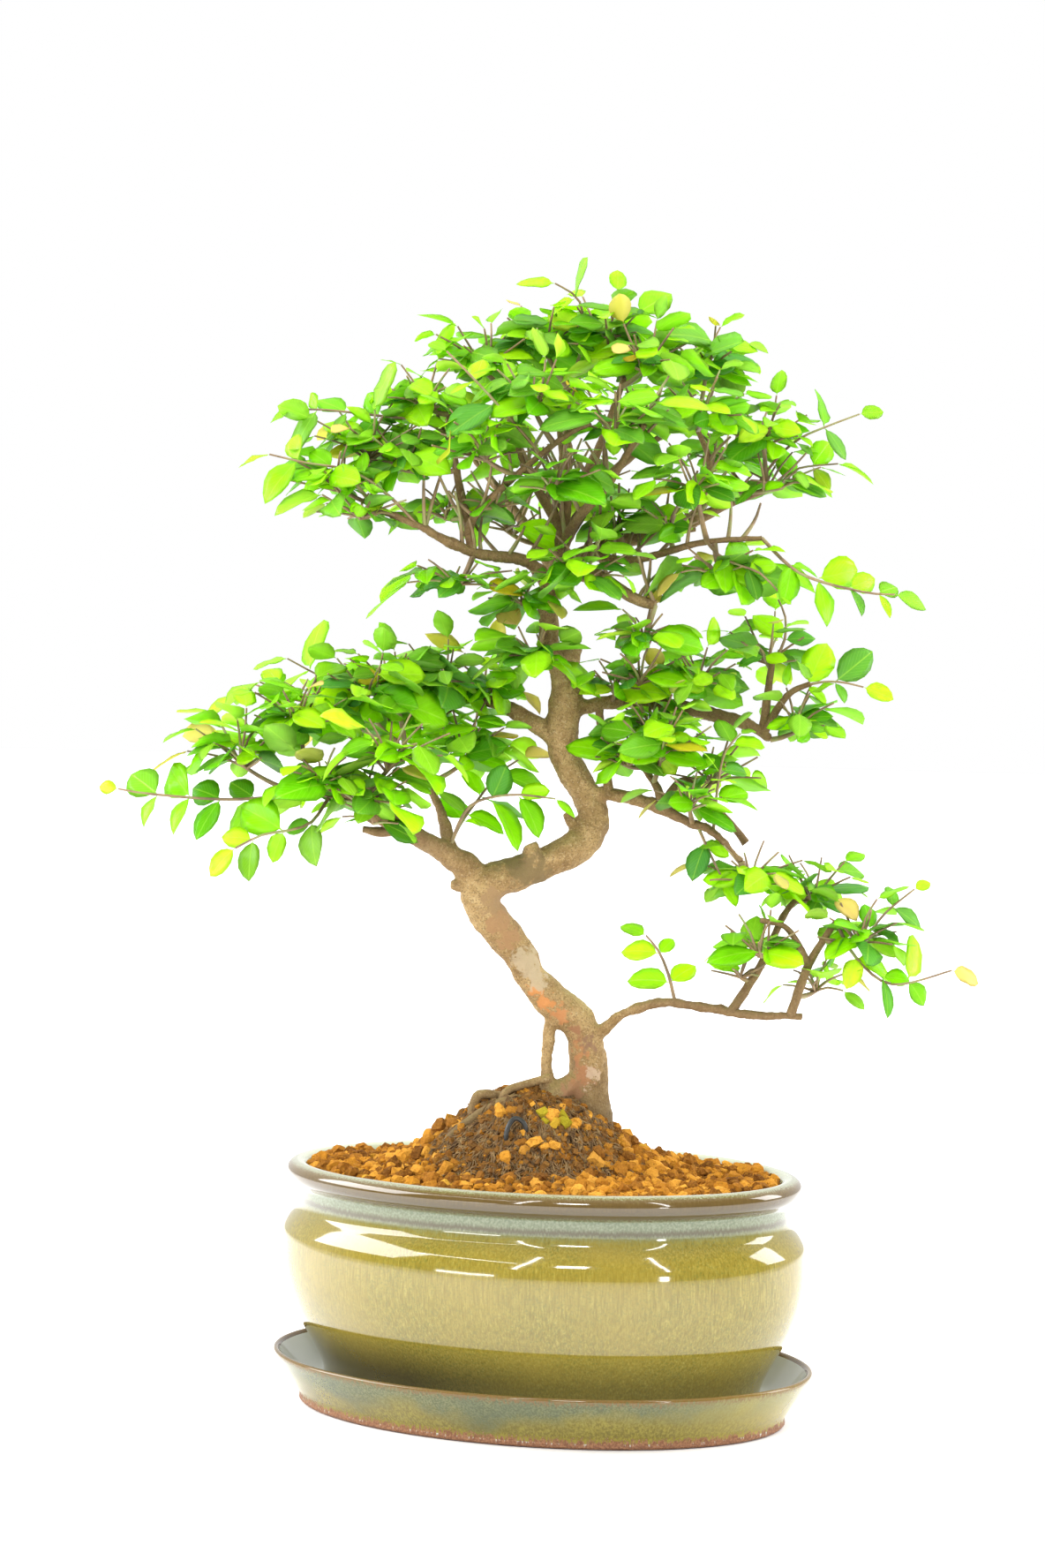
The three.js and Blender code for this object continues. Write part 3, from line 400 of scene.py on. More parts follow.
potValues = {
    "halfLength": 109, "halfWidth": 76, "sides": 144, "smoothAngle": 40, "floor": 0, "innerTop": 99,
    "holeRadius": 8, "holeOffset": 46, "holeSides": 32, "drillDepth": 30, "drillMiddle": 13.5,
    "underside": [(10, -60), (10, -24), (8.4, -22.6), (6.5, -22.1)],
    "foot": [(6.3, -20.5), (6.3, -16.4), (6.9, -15.1), (8.6, -15.2)],
    "wall": [(11, -16), (14, -15.8), (19, -14), (27, -9.6), (36, -4), (43, -1.0), (50, 1.2), (57, 2.3),
             (63, 2.4), (68.57, 2.0), (71.91, 1.2), (75.81, -1.2), (78.6, -3.5), (81.39, -4.3), (85.29, -4.4),
             (88.18, -4.2)],
    "rim": [(88.18, -4.2), (89.74, -2.9), (91.53, -1.0), (93.53, -0.1), (95.4, -0.1), (97, -0.9),
            (98.2, -2.4), (98.7, -4.4), (98.5, -6.3), (97.6, -7.9), (95.8, -9)],
    "inside": [(95.8, -9), (88.63, -10.4), (80.83, -11), (71.91, -8.2), (64.11, -5.8), (50, -6.4), (36, -10),
               (26, -15.5), (19, -21.5), (17.2, -24), (17, -27)],
}
trayValues = {
    "halfLength": 114, "halfWidth": 81, "sides": 144, "smoothAngle": 40, "floor": 6.5, "innerTop": 20.5,
    "outside": [(0, -60), (0, -13.2), (0.15, -11.6), (0.9, -10.9), (2.2, -11.0), (3.4, -11)],
    "wall": [(5.5, -9.8), (9, -7.3), (13, -4.4), (17, -1.9), (19.6, -0.3), (20.6, -0.05), (21.35, -0.4),
             (21.6, -1.1), (21.35, -1.9), (20.2, -2.7), (16.5, -4.9), (12, -8), (8.4, -11), (6.8, -13.2),
             (6, -16)],
}


def makePot(material):
    values = potValues
    section = (values["underside"] + values["foot"] + sectionCurve(values["wall"], 3)[:-1]
               + sectionCurve(values["rim"], 2)[:-1] + sectionCurve(values["inside"], 3))
    pot = ovalPiece(section, values["halfLength"], values["halfWidth"], values["sides"])
    for side in (-1, 1):
        place = (side * values["holeOffset"] * mm, 0, values["drillMiddle"] * mm)
        bpy.ops.mesh.primitive_cylinder_add(vertices=values["holeSides"], radius=values["holeRadius"] * mm,
                                            depth=values["drillDepth"] * mm, location=place)
        drill = bpy.context.object
        applyModifier(pot, "BOOLEAN", operation="DIFFERENCE", solver="EXACT", object=drill)
        bpy.data.objects.remove(drill)
    finishOval(pot, values, "glazedPot", material, "pot")


def makeTray(material):
    values = trayValues
    section = values["outside"] + sectionCurve(values["wall"], 3)
    tray = ovalPiece(section, values["halfLength"], values["halfWidth"], values["sides"])
    finishOval(tray, values, "glazedTray", material, "saucer")


potLook = {  # tones, and between which heights in metres they come
    "glaze": {"Roughness": 0.07, "IOR": 1.5, "Coat Weight": 0.45, "Coat Roughness": 0.03},
    "flow": (0.7, 7, 0.9), "wander": 0.0007, "relief": (0.0006, 0.25),
    "streaks": [(0.30, (0.118, 0.088, 0.011)), (0.48, (0.178, 0.138, 0.020)), (0.62, (0.22, 0.175, 0.030)),
                (0.76, (0.295, 0.24, 0.055))],
    "specks": (0.10, 0.105, 0.02), "clouds": (0.22, 0.16, 0.025),
    "neckAt": (0.0769, 0.0957),
    "neck": [(0.0, 0), (0.2, 0.25), (0.32, 0.9), (0.62, 1), (0.76, 0.4), (0.88, 0)],
    "neckTones": ((0.092, 0.112, 0.06), (0.155, 0.175, 0.108)),
    "lineAt": (0.0822, 0.0856), "line": [(0.0, 0), (0.4, 0.85), (0.6, 0.85), (1.0, 0)],
    "lineTone": (0.05, 0.035, 0.01),
    "rollAt": (0.0886, 0.0992), "roll": [(0.0, 0), (0.12, 0.9), (1.0, 0.95)],
    "rollTones": [(0.0, (0.060, 0.043, 0.020)), (0.4, (0.055, 0.034, 0.013)), (0.75, (0.085, 0.052, 0.018)),
                  (0.86, (0.12, 0.085, 0.038)), (0.93, (0.25, 0.26, 0.17))],
    "inside": (0.36, 0.38, 0.28),
    "shadeAt": (0.040, 0.020), "shadeAside": (0.03, -0.03), "shade": (0.035, 0.025, 0.004),
    "clayAt": (0.0078, 0.0062), "clay": (0.30, 0.13, 0.06), "clayRoughness": 0.8,
}


def potMaterial():
    look = potLook
    material, tree, shader = newMaterial("oliveGlaze", look["glaze"])
    place = xyz(tree, objectPlace(tree))
    height = place["Z"]
    flow = addGlaze(tree, *look["flow"])
    colour = addRamp(tree, flow["Drips"], look["streaks"])
    colour = mixColour(tree, spread(tree, flow["Specks"], 0.50, 0.66, 0, 0.6), colour, look["specks"])
    colour = mixColour(tree, spread(tree, flow["Clouds"], 0.4, 0.7, 0, 0.45), colour, look["clouds"])
    # the neck under the rim is pale blue-green with a thin brown line, and the rim's roll is brown
    wander = spread(tree, flow["Drips"], 0.3, 0.7, -look["wander"], look["wander"])
    level = blendMath(tree, "ADD", height, wander)
    pale = mixColour(tree, spread(tree, flow["Specks"], 0.4, 0.65), *look["neckTones"])
    colour = mixColour(tree, addMask(tree, spread(tree, level, *look["neckAt"]), look["neck"]), colour, pale)
    line = addMask(tree, spread(tree, level, *look["lineAt"]), look["line"])
    colour = mixColour(tree, line, colour, look["lineTone"])
    roll = spread(tree, level, *look["rollAt"])
    rollTone = addRamp(tree, roll, look["rollTones"])
    colour = mixColour(tree, addMask(tree, roll, look["roll"]), colour, rollTone)
    # painted glare: the pot's inner walls are made paler
    colour = mixColour(tree, attributeOf(tree, "innerSide")["Fac"], colour, look["inside"])
    # painted shade: the glaze is darkened low down towards the pot's left end, for the shadow between pot and
    # tray
    shade = times(tree, spread(tree, height, *look["shadeAt"]), spread(tree, place["X"], *look["shadeAside"]))
    colour = mixColour(tree, times(tree, shade, 0.8), colour, look["shade"])
    bare = spread(tree, height, *look["clayAt"])  # clay without glaze under the foot
    shine = spread(tree, flow["Specks"], 0.3, 0.7, 0.05, 0.11)
    feed(tree, shader, {
        "Base Color": mixColour(tree, bare, colour, look["clay"]),
        "Roughness": blendMath(tree, "MAXIMUM", shine, times(tree, bare, look["clayRoughness"])),
        "Normal": addBump(tree, flow["Clouds"], *look["relief"]),
    })
    return material


trayLook = {  # tones, and between which heights or lengths in metres they come
    "glaze": {"Roughness": 0.08, "IOR": 1.5, "Coat Weight": 0.15, "Coat Roughness": 0.04,
              "Specular IOR Level": 0.4},
    "flow": (0.9, 5, 0.8), "wander": 0.0022, "relief": (0.0006, 0.2),
    "upper": ((0.062, 0.066, 0.02), (0.13, 0.134, 0.052)), "clouds": (0.05, 0.065, 0.035),
    "drips": ((0.115, 0.09, 0.009), (0.205, 0.168, 0.02)), "dripsAt": (0.0145, 0.0065),
    "cloudDrop": 0.005, "slopeAlong": (0.01, 0.10), "slope": 0.007,
    "yellowAlong": (0.075, 0.108), "yellow": (0.36, 0.29, 0.06),
    "edgeAt": (0.0188, 0.0222), "edge": [(0.0, 0), (0.45, 0.75), (0.72, 0.85), (1.0, 0.55)],
    "edgeTone": (0.13, 0.065, 0.017), "inside": (0.46, 0.49, 0.43),
    "clayAt": (0.0040, 0.0028), "clay": ((0.14, 0.05, 0.018), (0.26, 0.12, 0.05)), "roughness": (0.08, 0.75),
}


def trayMaterial():
    look = trayLook
    material, tree, shader = newMaterial("celadonGlaze", look["glaze"])
    place = xyz(tree, objectPlace(tree))
    flow = addGlaze(tree, *look["flow"])
    wander = spread(tree, flow["Drips"], 0.3, 0.7, -look["wander"], look["wander"])
    level = blendMath(tree, "ADD", place["Z"], wander)
    upper = mixColour(tree, spread(tree, flow["Specks"], 0.4, 0.62), *look["upper"])
    upper = mixColour(tree, spread(tree, flow["Clouds"], 0.45, 0.62, 0, 0.6), upper, look["clouds"])
    drips = mixColour(tree, spread(tree, flow["Drips"], 0.42, 0.6), *look["drips"])
    drop = spread(tree, flow["Clouds"], 0.35, 0.65, -look["cloudDrop"], look["cloudDrop"])
    slope = spread(tree, place["X"], *look["slopeAlong"], 0, look["slope"])
    drawn = blendMath(tree, "SUBTRACT", blendMath(tree, "ADD", level, drop), slope)
    colour = mixColour(tree, spread(tree, drawn, *look["dripsAt"]), upper, drips)
    yellow = spread(tree, place["X"], *look["yellowAlong"], 0, 0.4)
    colour = mixColour(tree, yellow, colour, look["yellow"])
    edge = addMask(tree, spread(tree, level, *look["edgeAt"]), look["edge"])
    colour = mixColour(tree, edge, colour, look["edgeTone"])
    # painted glare: the tray's inner walls are made paler, for the lamps' glare on them
    colour = mixColour(tree, attributeOf(tree, "innerSide")["Fac"], colour, look["inside"])
    clay = mixColour(tree, spread(tree, flow["Specks"], 0.4, 0.65), *look["clay"])
    bare = spread(tree, level, *look["clayAt"])
    feed(tree, shader, {
        "Base Color": mixColour(tree, bare, colour, clay),
        "Roughness": spread(tree, bare, 0, 1, *look["roughness"]),
        "Normal": addBump(tree, flow["Clouds"], *look["relief"]),
    })
    return material


# From the tree's front, in mm: x, depth, height and radius along each limb
limbs = {
    "trunk": [
        (20, 5, 104, 9.8), (20, 5, 117, 9.2), (19, 5, 127, 8.6), (19, 5, 138, 8), (18, 5, 147, 7.3),
        (15, 4, 156, 7.2), (9, 3, 162, 7.4), (2, 2, 168, 7.5), (-5, 1, 176, 6.4), (-9, 0, 184, 6.7),
        (-17, -2, 194, 7.3), (-24, -4, 203, 7.2), (-26, -5, 211, 7.3), (-20, -5, 215, 7.4),
        (-10, -4, 218, 6.9), (2, -2, 223, 6.6), (14, 1, 229, 7), (20, 4, 239, 6.4), (17, 5, 249, 5.9),
        (12, 4, 257, 6), (8, 3, 265, 6.4), (7, 2, 276, 6.8), (8, 2, 287, 6.7), (8, 2, 296, 6),
        (5, 2, 303, 4.8), (1, 2, 310, 4.3), (1, 1, 319, 4), (0, 0, 326, 3.9), (2, 0, 335, 3.7),
    ],
    "topStub": [(9, 2, 294, 4.6), (10, 2, 304, 4), (11, 2, 311, 3.7)],
    "propRoot": [
        (5, 2, 162, 3.4), (3, 1, 155, 2.6), (2, 0, 146, 2.3), (2, -1, 137, 2.6), (2, -2, 128, 3.2),
        (1, -3, 118, 3.6),
    ],
    "leftRoot": [(14, 2, 134, 4), (9, -1, 131, 4.2), (4, -5, 127, 3.8), (-1, -9, 119, 3)],
    "rightRoot": [(21, 3, 134, 4.5), (24, 2, 128, 3), (24, 1, 120, 2.6), (25, 0, 110, 2.2)],
    "nearArch": [
        (3, -3, 135, 2.2), (-2, -5, 134, 1.7), (-13, -9, 131, 1.6), (-16, -10, 127, 1.6),
        (-18, -11, 117, 1.6),
    ],
    "farArch": [
        (-1, -4, 122, 2.6), (-10, -4, 126, 2), (-23, -8, 129, 1.9), (-27, -9, 126, 2),
        (-29, -9, 112, 1.8),
    ],
    "slopeRoot": [
        (-3, -8, 126, 2.8), (-12, -11, 127, 2.3), (-19, -12, 124.7, 2.1), (-27, -14, 120, 2),
        (-36, -16, 113, 1.8), (-40, -17, 107, 1.5),
    ],
    "backRoot": [(17, 10, 132, 4.2), (20, 20, 120, 3.4), (21, 28, 110, 2.6), (22, 36, 97, 2)],
    "junctionStub": [(-26, -6, 212, 3.6), (-33, -8, 213, 2.6), (-37, -9, 213, 2)],
    "trunkKnob": [(-5, -6, 220, 4.6), (-5, -8, 227, 3.8), (-6, -8, 230, 3.2)],
    "innerSpur": [(14, 3, 234, 3.4), (10, 3, 239, 2.2), (8, 3, 242, 1.2)],
    "leftLow": [
        (-26, -5, 212, 6.4), (-31, -7, 220, 6), (-36, -10, 224, 5), (-51, -18, 233, 3.8),
        (-59, -22, 238, 3.4), (-64, -25, 246, 2.8), (-77, -30, 252, 2.3), (-95, -34, 250, 1.6),
    ],
    "leftHigh": [
        (6, 2, 271, 5), (-1, 4, 276, 3.9), (-18, 14, 285, 2.8), (-39, 26, 288, 2), (-68, 34, 283, 1.4),
    ],
    "leftUp": [(-37, -11, 225, 3.4), (-41, -6, 240, 2.2), (-46, -2, 251, 1.8), (-60, 2, 270, 1.2)],
    "leftFront": [
        (-57, -21, 237, 2.8), (-66, -32, 241, 2.2), (-75, -42, 249, 1.8), (-90, -51, 256, 1.2),
    ],
    "leftSpur": [(-57, -21, 237, 2.6), (-65, -24, 235, 2.2), (-72, -26, 236, 1.3)],
    "rightHigh": [
        (9, 2, 284, 4), (17, 4, 285, 3.3), (29, 7, 287, 3), (48, 12, 286, 3), (68, 15, 282, 3.1),
        (85, 17, 277, 2.5), (92, 17, 272, 1.6),
    ],
    "rightUp": [(89, 17, 275, 2.2), (90, 17, 286, 1.7), (92, 15, 304, 1.3)],
    "rightOut": [(89, 17, 275, 2), (98, 12, 290, 1.3), (107, 8, 295, 1.1)],
    "rightLink": [(22, 6, 286, 2), (22, 5, 280, 1.7), (24, 3, 267, 1.6), (26, -1, 249, 2.2)],
    "rightLow": [
        (18, 4, 248, 3.8), (25, 1, 250, 2.8), (37, -7, 248, 2.7), (46, -12, 245, 2.8),
        (57, -18, 240, 2), (67, -24, 236, 1.7), (78, -30, 225, 1.1),
    ],
    "rightLowUp": [(47, -12, 244, 2.2), (45, -10, 253, 1.7), (38, -4, 263, 1.1)],
    "rightMid": [(47, -12, 245, 2), (56, -8, 256, 1.5), (71, -6, 243, 1.3), (81, -6, 231, 1.8)],
    "baseBranch": [
        (18, 4, 148, 3.6), (24, 2, 154, 2.7), (32, -4, 161, 2.2), (47, -13, 167, 2), (65, -21, 166, 2),
        (82, -27, 164, 2), (103, -32, 164, 1.7),
    ],
    "baseUpNear": [(75, -25, 165, 2), (87, -22, 184, 1.6), (96, -16, 203, 1.3), (106, -11, 214, 1)],
    "baseUpFar": [(98, -31, 164, 2), (105, -33, 185, 1.7), (115, -36, 202, 1.2)],
    "baseInward": [(105, -33, 184, 1.6), (96, -40, 199, 1.2), (85, -45, 203, 1)],
    "crownLeader": [(2, 0, 332, 3.7), (6, 3, 353, 2.9), (8, 7, 381, 2), (8, 8, 413, 1.2)],
    "crownLeft": [
        (2, 0, 330, 3.6), (-3, -4, 339, 2.8), (-11, -9, 344, 2.5), (-29, -18, 346, 2.3),
        (-51, -28, 356, 1.8), (-68, -34, 363, 1.2),
    ],
    "crownLeftUp": [
        (-30, -18, 346, 2.2), (-32, -18, 358, 1.8), (-36, -15, 376, 1.6), (-40, -12, 401, 1.1),
    ],
    "crownDiagonal": [
        (-32, -18, 353, 1.9), (-26, -26, 364, 1.6), (2, -46, 388, 1.2), (16, -50, 396, 1),
    ],
    "crownStubLimb": [
        (3, 0, 330, 3.2), (7, -3, 335, 3), (17, -8, 339, 2.8), (34, -15, 329, 2.4),
        (43, -18, 326, 2.1),
    ],
    "crownRight": [
        (4, 1, 340, 3.2), (13, 6, 346, 3.1), (34, 15, 353, 3.1), (54, 22, 358, 2.6),
        (74, 27, 368, 1.8), (90, 30, 374, 1.2),
    ],
    "crownCutEnd": [(50, 21, 357, 2.9), (60, 22, 359, 2.7)],
    "crownRightLow": [(15, 7, 347, 2.4), (34, -4, 344, 1.7), (61, -14, 351, 1.3), (85, -19, 353, 1)],
    "crownRightUp": [(60, 23, 360, 1.9), (66, 18, 382, 1.4), (60, 12, 398, 1)],
    "crownBackLeft": [(4, 2, 338, 3), (-3, 16, 349, 2.5), (-13, 32, 364, 2), (-37, 52, 395, 1.1)],
    "crownBackRight": [(6, 3, 350, 2.6), (16, 22, 366, 2.2), (29, 40, 383, 1.8), (55, 56, 402, 1.1)],
    "crownBack": [(7, 4, 361, 2.2), (7, 24, 377, 1.9), (4, 54, 408, 1.1)],
    "crownFront": [(6, 2, 349, 2.4), (12, -16, 360, 2), (24, -32, 374, 1.7), (37, -46, 396, 1.1)],
    "crownMidLeft": [(6, 3, 356, 2.2), (-3, -4, 370, 1.9), (-12, -8, 387, 1.6), (-18, -8, 412, 1.1)],
    "crownMidRight": [(7, 5, 368, 2.1), (17, 2, 381, 1.8), (30, -4, 416, 1.1)],
}
pads = [  # node, middle, half sizes
    ("spray_crown_far_left", (-72, -16, 394), (26, 16, 11)),
    ("spray_crown_left_tip", (-86, -32, 377), (20, 16, 12)),
    ("spray_crown_left_low", (-74, -38, 363), (19, 15, 10)),
    ("spray_crown_left", (-59, -20, 385), (18, 20, 14)),
    ("spray_crown_left_top", (-49, -12, 410), (18, 22, 14)),
    ("spray_crown_top_left", (-27, -4, 427), (20, 22, 14)),
    ("spray_crown_top", (-2, 6, 435), (19, 22, 14)),
    ("spray_crown_peak", (22, 8, 440), (17, 22, 14)),
    ("spray_crown_front_top", (-7, -42, 410), (20, 20, 14)),
    ("spray_crown_front_left", (-27, -46, 390), (20, 18, 14)),
    ("spray_crown_top_right", (39, -14, 427), (18, 22, 14)),
    ("spray_crown_right_top", (64, 16, 428), (18, 22, 14)),
    ("spray_crown_right", (61, -20, 406), (19, 22, 14)),
    ("spray_crown_right_out", (88, 22, 400), (17, 20, 14)),
    ("spray_crown_right_tip", (96, 26, 380), (17, 18, 12)),
    ("spray_crown_front_right", (58, -38, 378), (19, 18, 14)),
    ("spray_crown_front", (24, -46, 399), (19, 18, 15)),
    ("spray_crown_front_low", (4, -50, 374), (18, 16, 14)),
    ("spray_crown_underside", (14, -30, 342), (20, 18, 14)),
    ("spray_crown_under_left", (-36, -22, 336), (22, 16, 10)),
    ("spray_crown_under_right", (69, -14, 341), (22, 16, 10)),
    ("spray_crown_back_left", (-32, 46, 400), (23, 20, 16)),
    ("spray_crown_back_top", (1, 48, 420), (21, 22, 15)),
    ("spray_crown_back_right", (42, 54, 410), (22, 20, 15)),
    ("spray_crown_back_out", (74, 52, 393), (19, 20, 14)),
    ("spray_crown_back_low", (13, 46, 378), (22, 20, 14)),
    ("spray_crown_hanging", (38, -18, 315), (13, 13, 11)),
    ("spray_left_tip", (-122, -36, 270), (20, 18, 15)),
    ("spray_left_top_out", (-97, -34, 284), (20, 20, 14)),
    ("spray_left_top", (-72, -22, 292), (20, 20, 14)),
    ("spray_left_top_in", (-45, -2, 299), (19, 20, 14)),
    ("spray_left_front", (-58, -52, 271), (22, 16, 14)),
    ("spray_left_low", (-72, -46, 253), (24, 18, 13)),
    ("spray_left_inner", (-30, 4, 272), (18, 20, 17)),
    ("spray_left_back", (-66, 34, 280), (26, 20, 15)),
    ("spray_leader", (-5, -12, 308), (11, 13, 11)),
    ("spray_right_top_in", (38, -8, 302), (18, 18, 13)),
    ("spray_right_top", (62, 8, 299), (17, 20, 13)),
    ("spray_right_top_out", (90, 20, 310), (19, 20, 15)),
    ("spray_right_out", (104, 12, 283), (13, 15, 14)),
    ("spray_right_front", (46, -24, 274), (21, 17, 15)),
    ("spray_right_low", (68, 0, 262), (21, 20, 13)),
    ("spray_base_left", (82, -28, 221), (21, 18, 14)),
    ("spray_base_top", (108, -16, 215), (17, 18, 14)),
    ("spray_base_right", (125, -38, 199), (17, 16, 13)),
    ("spray_base_front", (84, -44, 195), (16, 15, 14)),
]
longShoots = [
    ("shoot_left_long", [(-95, -34, 250), (-124, -40, 248), (-154, -45, 250), (-167, -46, 252)]),
    ("shoot_crown_trailing", [(85, -19, 353), (100, -26, 339), (124, -30, 332), (137, -31, 331)]),
    ("shoot_base_long", [(115, -36, 202), (123, -39, 188), (137, -42, 178), (160, -45, 184)]),
    ("shoot_base_near", [(53, -16, 167), (50, -15, 179), (46, -14, 188), (41, -13, 194)]),
    ("shoot_left_inner", [(-38, -11, 228), (-30, -14, 245), (-14, -20, 250), (4, -28, 249)]),
    ("shoot_crown_top", [(8, 8, 413), (13, 3, 430), (12, -3, 447), (2, -6, 454)]),
]


# Trunk, roots and branches
trunkValues = {
    "voxel": 0.95, "thick": 3.2, "lumps": 1.6, "lumpSize": 7, "grain": 0.7, "grainSize": 2.2,
    "smooth": {"factor": 0.5, "iterations": 4}, "roundness": 6,
    "branchLumps": 0.7, "branchLumpSize": 3.5, "branchStep": 1.5, "branchRoundness": 3,
}


def alongLimb(points, step=2.0):
    # a smooth line through the points, with the radius as its fourth number
    def pieces(start, end):
        return max(1, round(float(np.linalg.norm((end - start)[:3])) / step))
    return smoothLine(points, pieces)


def withRadius(path, start, end):
    return [(*point, start + (end - start) * i / (len(path) - 1)) for i, point in enumerate(path)]


def tubesPiece(lines, roundness):
    # tubes along lines of (x, depth, z, radius) in mm from the tree's front
    curve = bpy.data.curves.new("tubes", "CURVE")
    curve.dimensions = "3D"
    curve.bevel_depth = 1.0
    curve.bevel_resolution = roundness
    curve.use_fill_caps = True
    for line in lines:
        spline = curve.splines.new("POLY")
        spline.points.add(len(line) - 1)
        for point, (x, depth, z, radius) in zip(spline.points, line):
            point.co = (*(frontMatrix @ Vector((x, depth, z))), 1)
            point.radius = radius * mm
    piece = bpy.data.objects.new("tubes", curve)
    bpy.context.collection.objects.link(piece)
    selectOnly(piece)
    bpy.ops.object.convert(target="MESH")
    return bpy.context.object


def displace(piece, name, size, strength):
    texture = bpy.data.textures.new(name, "CLOUDS")
    texture.noise_scale = size * mm
    texture.noise_depth = 2
    applyModifier(piece, "DISPLACE", texture=texture, texture_coords="LOCAL", strength=strength * mm,
                  mid_level=0.5)


def finishTubes(piece, name, material, nodes=()):
    bpy.ops.object.shade_smooth()
    finishPiece(piece, name, material, nodes)


def makeTrunk(material):
    values = trunkValues
    thick, thin = [], []
    for points in limbs.values():
        (thick if max(point[3] for point in points) > values["thick"] else thin).append(points)
    trunk = tubesPiece([alongLimb(points) for points in thick], values["roundness"])
    applyModifier(trunk, "REMESH", mode="VOXEL", voxel_size=values["voxel"] * mm)
    applyModifier(trunk, "SMOOTH", **values["smooth"])
    displace(trunk, "lumps", values["lumpSize"], values["lumps"])
    displace(trunk, "grain", values["grainSize"], values["grain"])
    finishTubes(trunk, "trunkWood", material, ["trunk"])
    lines = [alongLimb(points, values["branchStep"]) for points in thin]
    branches = tubesPiece(lines, values["branchRoundness"])
    displace(branches, "branchLumps", values["branchLumpSize"], values["branchLumps"])
    finishTubes(branches, "branchWood", material, ["trunk"])


barkLook = {  # tones, pattern sizes in mm, and between which places in metres the tones come
    "shader": {"Specular IOR Level": 0.3}, "roughness": (0.68, 0.9),
    "wood": [(0.28, (0.11, 0.06, 0.02)), (0.44, (0.23, 0.14, 0.05)), (0.58, (0.32, 0.21, 0.085)),
             (0.75, (0.45, 0.33, 0.16))],
    "grain": (1.0, 0.5), "coarse": (4.5, 5, 0.7), "wide": (15, 3), "dots": (0.7, 2),
    "dark": (0.10, 0.055, 0.022), "pale": (0.46, 0.36, 0.20), "moss": (0.24, 0.22, 0.05),
    "soilAt": (0.142, 0.120), "soil": (0.10, 0.065, 0.024),
    "outAt": (0.030, 0.048), "upAt": (0.30, 0.36), "branch": (0.115, 0.065, 0.028),
    "ragged": 0.5, "raggedSize": 0.45, "core": 0.7,
    "patches": [  # middle from the tree's front in mm, radius, tone: peeled, reddish and whitish places
        ((-3.5, -7, 171), 4.5, (0.46, 0.19, 0.055)), ((0.5, -7, 165), 5, (0.46, 0.19, 0.055)),
        ((7, -7, 160), 5.5, (0.40, 0.17, 0.06)), ((11, -6, 152), 6, (0.24, 0.11, 0.05)),
        ((14, -6, 145), 6.5, (0.34, 0.15, 0.055)), ((15, -6, 137), 6.5, (0.29, 0.13, 0.055)),
        ((13, -5, 129), 5.5, (0.25, 0.13, 0.06)), ((19, -5, 149), 5, (0.20, 0.11, 0.06)),
        ((21, -4, 137), 3.8, (0.40, 0.29, 0.19)), ((19, -6, 131), 3.0, (0.40, 0.29, 0.19)),
        ((-6, -6, 182), 7, (0.34, 0.265, 0.16)), ((-2, -6, 175), 5, (0.36, 0.28, 0.17)),
        ((-18, -7, 199), 6, (0.27, 0.15, 0.065)), ((-14, -7, 192), 5, (0.27, 0.15, 0.065)),
        ((-20, -6, 208), 8, (0.25, 0.155, 0.07)), ((-6, -7, 219), 9, (0.15, 0.102, 0.040)),
        ((-14, -6, 223), 7, (0.15, 0.105, 0.040)),
    ],
}


def nearPlace(tree, place, middle, radius):
    # 1 around a place given from the tree's front in mm, falling to 0 at a ragged edge
    look = barkLook
    target = frontMatrix @ Vector(middle)
    distance = vectorMath(tree, "DISTANCE", place, target)
    ragged = look["ragged"] * radius * mm
    edge = spread(tree, addNoise(tree, place, radius * look["raggedSize"], 5), 0.3, 0.7, -ragged, ragged)
    return spread(tree, blendMath(tree, "ADD", distance, edge), radius * mm, radius * look["core"] * mm)


def barkMaterial():
    look = barkLook
    material, tree, shader = newMaterial("bark", look["shader"])
    place = objectPlace(tree)
    x, y, z = xyz(tree, place)
    fine = addGrain(tree, *look["grain"])
    wide = addNoise(tree, place, *look["wide"])
    coarse = addNoise(tree, place, *look["coarse"])
    mixed = blendMath(tree, "ADD", times(tree, coarse, 0.6), times(tree, wide, 0.4))
    colour = addRamp(tree, mixed, look["wood"])
    dots = spread(tree, addNoise(tree, place, *look["dots"]), 0.52, 0.62, 0, 0.6)
    colour = mixColour(tree, dots, colour, look["dark"])
    colour = mixColour(tree, spread(tree, fine["Mask"], 0.55, 0.68, 0, 0.6), colour, look["pale"])
    upward = xyz(tree, addNode(tree, "ShaderNodeNewGeometry").outputs["Normal"])["Z"]
    mossy = times(tree, spread(tree, upward, 0.2, 0.8), spread(tree, wide, 0.4, 0.6))
    colour = mixColour(tree, times(tree, mossy, 0.3), colour, look["moss"])
    colour = mixColour(tree, times(tree, spread(tree, z, *look["soilAt"]), 0.75), colour, look["soil"])
    # branches are darker than the trunk, further out and further up
    aside = blendMath(tree, "ADD", times(tree, x, math.cos(frontTurn)), times(tree, y, math.sin(frontTurn)))
    outer = spread(tree, blendMath(tree, "ABSOLUTE", aside), *look["outAt"], 0, 0.6)
    upper = spread(tree, z, *look["upAt"], 0, 0.6)
    colour = mixColour(tree, blendMath(tree, "MAXIMUM", outer, upper), colour, look["branch"])
    for middle, radius, tone in look["patches"]:
        colour = mixColour(tree, times(tree, nearPlace(tree, place, middle, radius), 0.9), colour, tone)
    rough = spread(tree, fine["Mask"], 0.3, 0.7, *look["roughness"])
    feed(tree, shader, {"Base Color": colour, "Roughness": rough, "Normal": fine["Normal"]})
    return material


